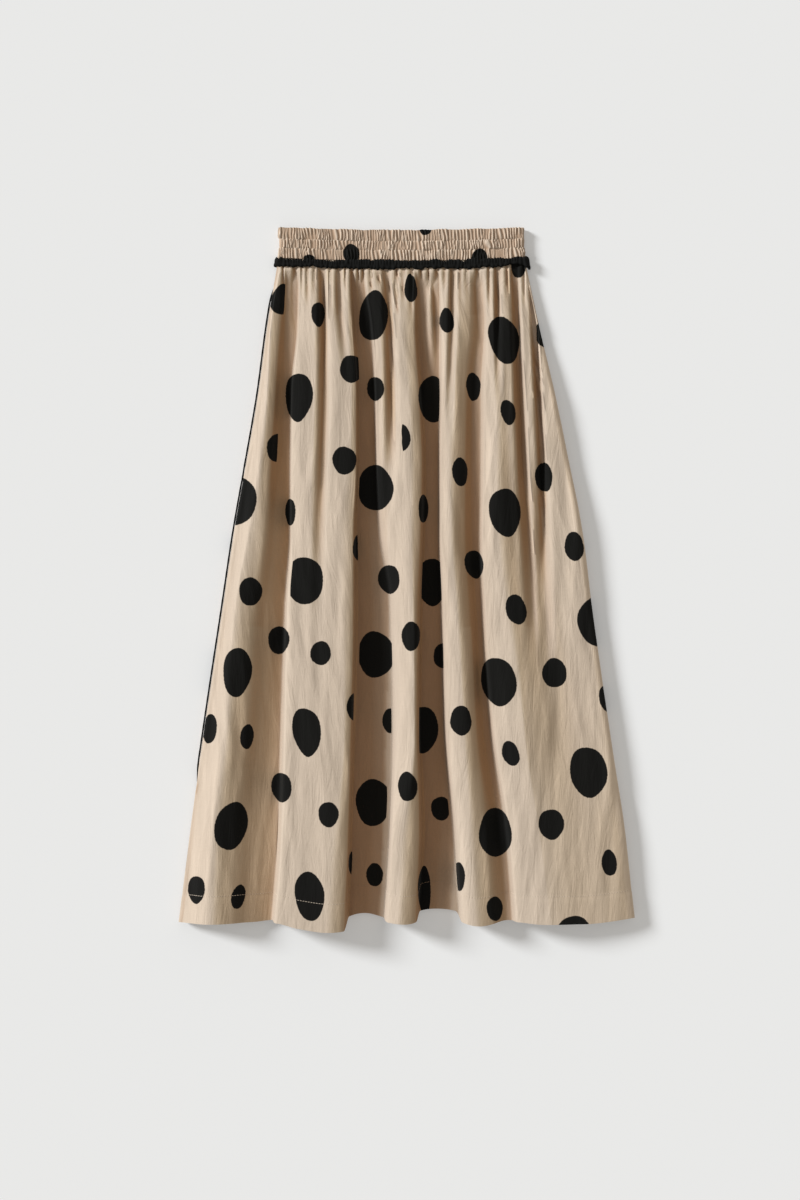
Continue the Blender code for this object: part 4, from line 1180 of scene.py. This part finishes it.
# ------------------------------------------------------------------ piping
def build_piping(name, side):
    """Thin cord in the side seam, with a faint twist."""
    drops = np.linspace(11.8, 798, 330)
    centres = []
    for drop in drops:
        x, z = roll_point(side, float(drop), seam_angle(side, float(drop)), PIPING_RADIUS * 0.92 + GAP)
        k = float(ease(0, 300, drop))
        end = HEM_LINE[0 if side < 0 else -1][2]
        y = float(seam_y(x * (1 - k) + WAIST_MID_X * k)) - drop * end / 800.0
        z += 0.12 * math.sin(drop * 0.11) + 0.08 * math.sin(drop * 0.37)
        centres.append((x, y, max(z, PIPING_RADIUS + 0.08)))
    centres = np.array(centres)
    along = np.gradient(centres, axis=0)
    along /= np.linalg.norm(along, axis=1, keepdims=True)
    across = np.cross(along, (0.0, 0.0, 1.0))
    across /= np.linalg.norm(across, axis=1, keepdims=True)
    other = np.cross(across, along)
    points, faces, sides = [], [], 12
    for n, (centre, u, v) in enumerate(zip(centres, across, other)):
        for k in range(sides):
            a = 2 * math.pi * k / sides
            r = PIPING_RADIUS * (0.96 + 0.06 * math.cos(2 * a + n * 0.9))
            points.append(centre + r * (math.cos(a) * u + math.sin(a) * v))
    last = len(centres) - 1
    for i in range(last):
        for k in range(sides):
            m = (k + 1) % sides
            faces.append((i * sides + k, i * sides + m, (i + 1) * sides + m, (i + 1) * sides + k))
    for i, flip in ((0, False), (last, True)):
        rim = [i * sides + k for k in range(sides)]
        faces.append(tuple(reversed(rim)) if flip else tuple(rim))
    return new_object(name, points, faces, 60)


# ------------------------------------------------------------------ stitching
def stitches(name, line, normal, length, space, radius, lift, painted_shade):
    """Short threads lying along a line of points on the cloth, with painted shade where it is shut in."""
    line = np.asarray(line)
    step = np.linalg.norm(np.diff(line, axis=0), axis=1)
    s = np.concatenate([[0], np.cumsum(step)])
    starts = np.arange(space, s[-1] - length - space, length + space)
    points, faces, dull = [], [], []
    for start in starts:
        t = start + np.linspace(0, 1, 5) * length
        p = np.stack([np.interp(t, s, line[:, c]) for c in range(3)], axis=1)
        nrm = np.stack([np.interp(t, s, normal[:, c]) for c in range(3)], axis=1)
        nrm /= np.linalg.norm(nrm, axis=1, keepdims=True)
        bow = np.array([-radius * 0.8, lift * 0.7, lift, lift * 0.7, -radius * 0.8])
        p = p + nrm * bow[:, None]
        tangent = np.gradient(p, axis=0)
        tangent /= np.linalg.norm(tangent, axis=1, keepdims=True)
        side = np.cross(tangent, nrm)
        side /= np.linalg.norm(side, axis=1, keepdims=True)
        base = len(points)
        # painted shade for each thread, taken from the cloth under its start
        dull += [float(np.interp(start, s, painted_shade))] * 30
        for q, (c, n, w) in enumerate(zip(p, nrm, side)):
            r = radius * (0.75 if q in (0, 4) else 1.0)
            for a in range(6):
                ang = 2 * math.pi * a / 6
                points.append(c + r * (math.cos(ang) * w + math.sin(ang) * n))
        for q in range(4):
            for a in range(6):
                b = (a + 1) % 6
                faces.append((base + q * 6 + a, base + q * 6 + b, base + (q + 1) * 6 + b, base + (q + 1) * 6 + a))
        faces.append(tuple(base + a for a in reversed(range(6))))
        faces.append(tuple(base + 24 + a for a in range(6)))
    obj = new_object(name, points, faces, 60)
    obj.data.attributes.new("painted_shade", "FLOAT", "POINT").data.foreach_set("value", np.array(dull, np.float32))
    return obj


# ------------------------------------------------------------------ put it together
front, front_points, front_painted_shade = build_front()
back, back_points, back_drops = build_back()
band, band_points = build_band()
frill = build_frill()
piping_left = build_piping("piping_cord_left", -1)
piping_right = build_piping("piping_cord_right", 1)

printed = cloth_material("printed_cloth_look")
printed_back = cloth_material("printed_back_look")
band_look = cloth_material("band_cloth_look", bump=0.8)
for piece, look in ((front, printed), (back, printed_back), (band, band_look)):
    piece.data.materials.append(look)
frill.data.materials.append(black_material("frill_look", 0.85, 0.0, 1400.0, 0.6))
piping_look = black_material("piping_look", 0.9, 0.0, 2600.0, 0.35)
piping_left.data.materials.append(piping_look)
piping_right.data.materials.append(piping_look)

# hem stitching: a line 32 mm above the lower edge, on both panels
front_normals = normals_of(front_points, 1)
row = int(np.argmin(np.abs((800 - DROPS) / 800.0 * 790.0 - HEM_TURN)))
keep = slice(6, front_points.shape[1] - 6)
hem_thread = stitches("hem_stitches_front", front_points[row, keep], front_normals[row, keep], 2.5, 0.7, 0.24, 0.16, front_painted_shade[row, keep])
back_normals = normals_of(back_points, -1)
row = int(np.argmin(np.abs((800 - back_drops) / 800.0 * 775.0 - HEM_TURN)))
keep = slice(8, back_points.shape[1] - 8)
back_line = back_points[row, keep] + np.array([0, 0, 0.35])
# painted shade: an even 0.3 for the back's stitching
hem_thread_back = stitches("hem_stitches_back", back_line, back_normals[row, keep], 2.5, 0.7, 0.22, 0.1, np.full(len(back_line), 0.3))
thread_look = thread_material("thread_look", THREAD)
hem_thread.data.materials.append(thread_look)
hem_thread_back.data.materials.append(thread_look)

for piece, node_name, slot in (
    (front, "front_panel", "printed_cloth"),
    (back, "back_panel", "printed_cloth_back"),
    (band, "waistband", "band_cloth"),
    (frill, "waist_trim", "frill_black"),
    (piping_left, "side_piping_left", "piping_black"),
    (piping_right, "side_piping_right", "piping_black"),
):
    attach(piece, "root")
    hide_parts(node_name)
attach(hem_thread, "root")
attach(hem_thread_back, "root")

# ------------------------------------------------------------------ stage
floor_mesh = bpy.data.meshes.new("floor")
floor_mesh.from_pydata([(-6, -6, -0.0003), (6, -6, -0.0003), (6, 6, -0.0003), (-6, 6, -0.0003)], [], [(0, 1, 2, 3)])
floor = bpy.data.objects.new("floor", floor_mesh)
bpy.context.scene.collection.objects.link(floor)
floor_look = bpy.data.materials.new("floor_look")
floor_look.use_nodes = True
floor_shader = floor_look.node_tree.nodes["Principled BSDF"]
floor_shader.inputs["Base Color"].default_value = (0.66, 0.66, 0.66, 1)
floor_shader.inputs["Roughness"].default_value = 1.0
floor_shader.inputs["Specular IOR Level"].default_value = 0.0
# a light table: the pale surface glows a little, so its shadows stay light
floor_shader.inputs["Emission Color"].default_value = (1.0, 1.0, 1.0, 1)
floor_shader.inputs["Emission Strength"].default_value = 0.18
floor_mesh.materials.append(floor_look)

world = bpy.data.worlds.new("studio")
world.use_nodes = True
world.node_tree.nodes["Background"].inputs["Color"].default_value = (1.0, 0.965, 0.90, 1)
world.node_tree.nodes["Background"].inputs["Strength"].default_value = 0.42
bpy.context.scene.world = world

key_data = bpy.data.lights.new("key", "SUN")
key_data.energy = 4.55
key_data.angle = math.radians(14)
key_data.color = (0.955, 0.98, 1.0)
key = bpy.data.objects.new("key", key_data)
elevation, azimuth = math.radians(23), math.radians(26)  # from the left, turned towards the waist
towards = (
    -math.cos(elevation) * math.cos(azimuth),
    math.cos(elevation) * math.sin(azimuth),
    math.sin(elevation),
)
from mathutils import Vector

key.rotation_euler = Vector(towards).to_track_quat("Z", "Y").to_euler()
bpy.context.scene.collection.objects.link(key)

camera_data = bpy.data.cameras.new("camera")
camera_data.lens = 50
camera_data.sensor_width = 36
camera_data.sensor_fit = "AUTO"
camera_data.clip_end = 50
camera = bpy.data.objects.new("camera", camera_data)
camera.location = (CAMERA_X * MM, CAMERA_Y * MM, CAMERA_HEIGHT * MM)
camera.rotation_euler = (0, 0, 0)
bpy.context.scene.collection.objects.link(camera)
bpy.context.scene.camera = camera
bpy.context.scene.view_settings.view_transform = "Standard"
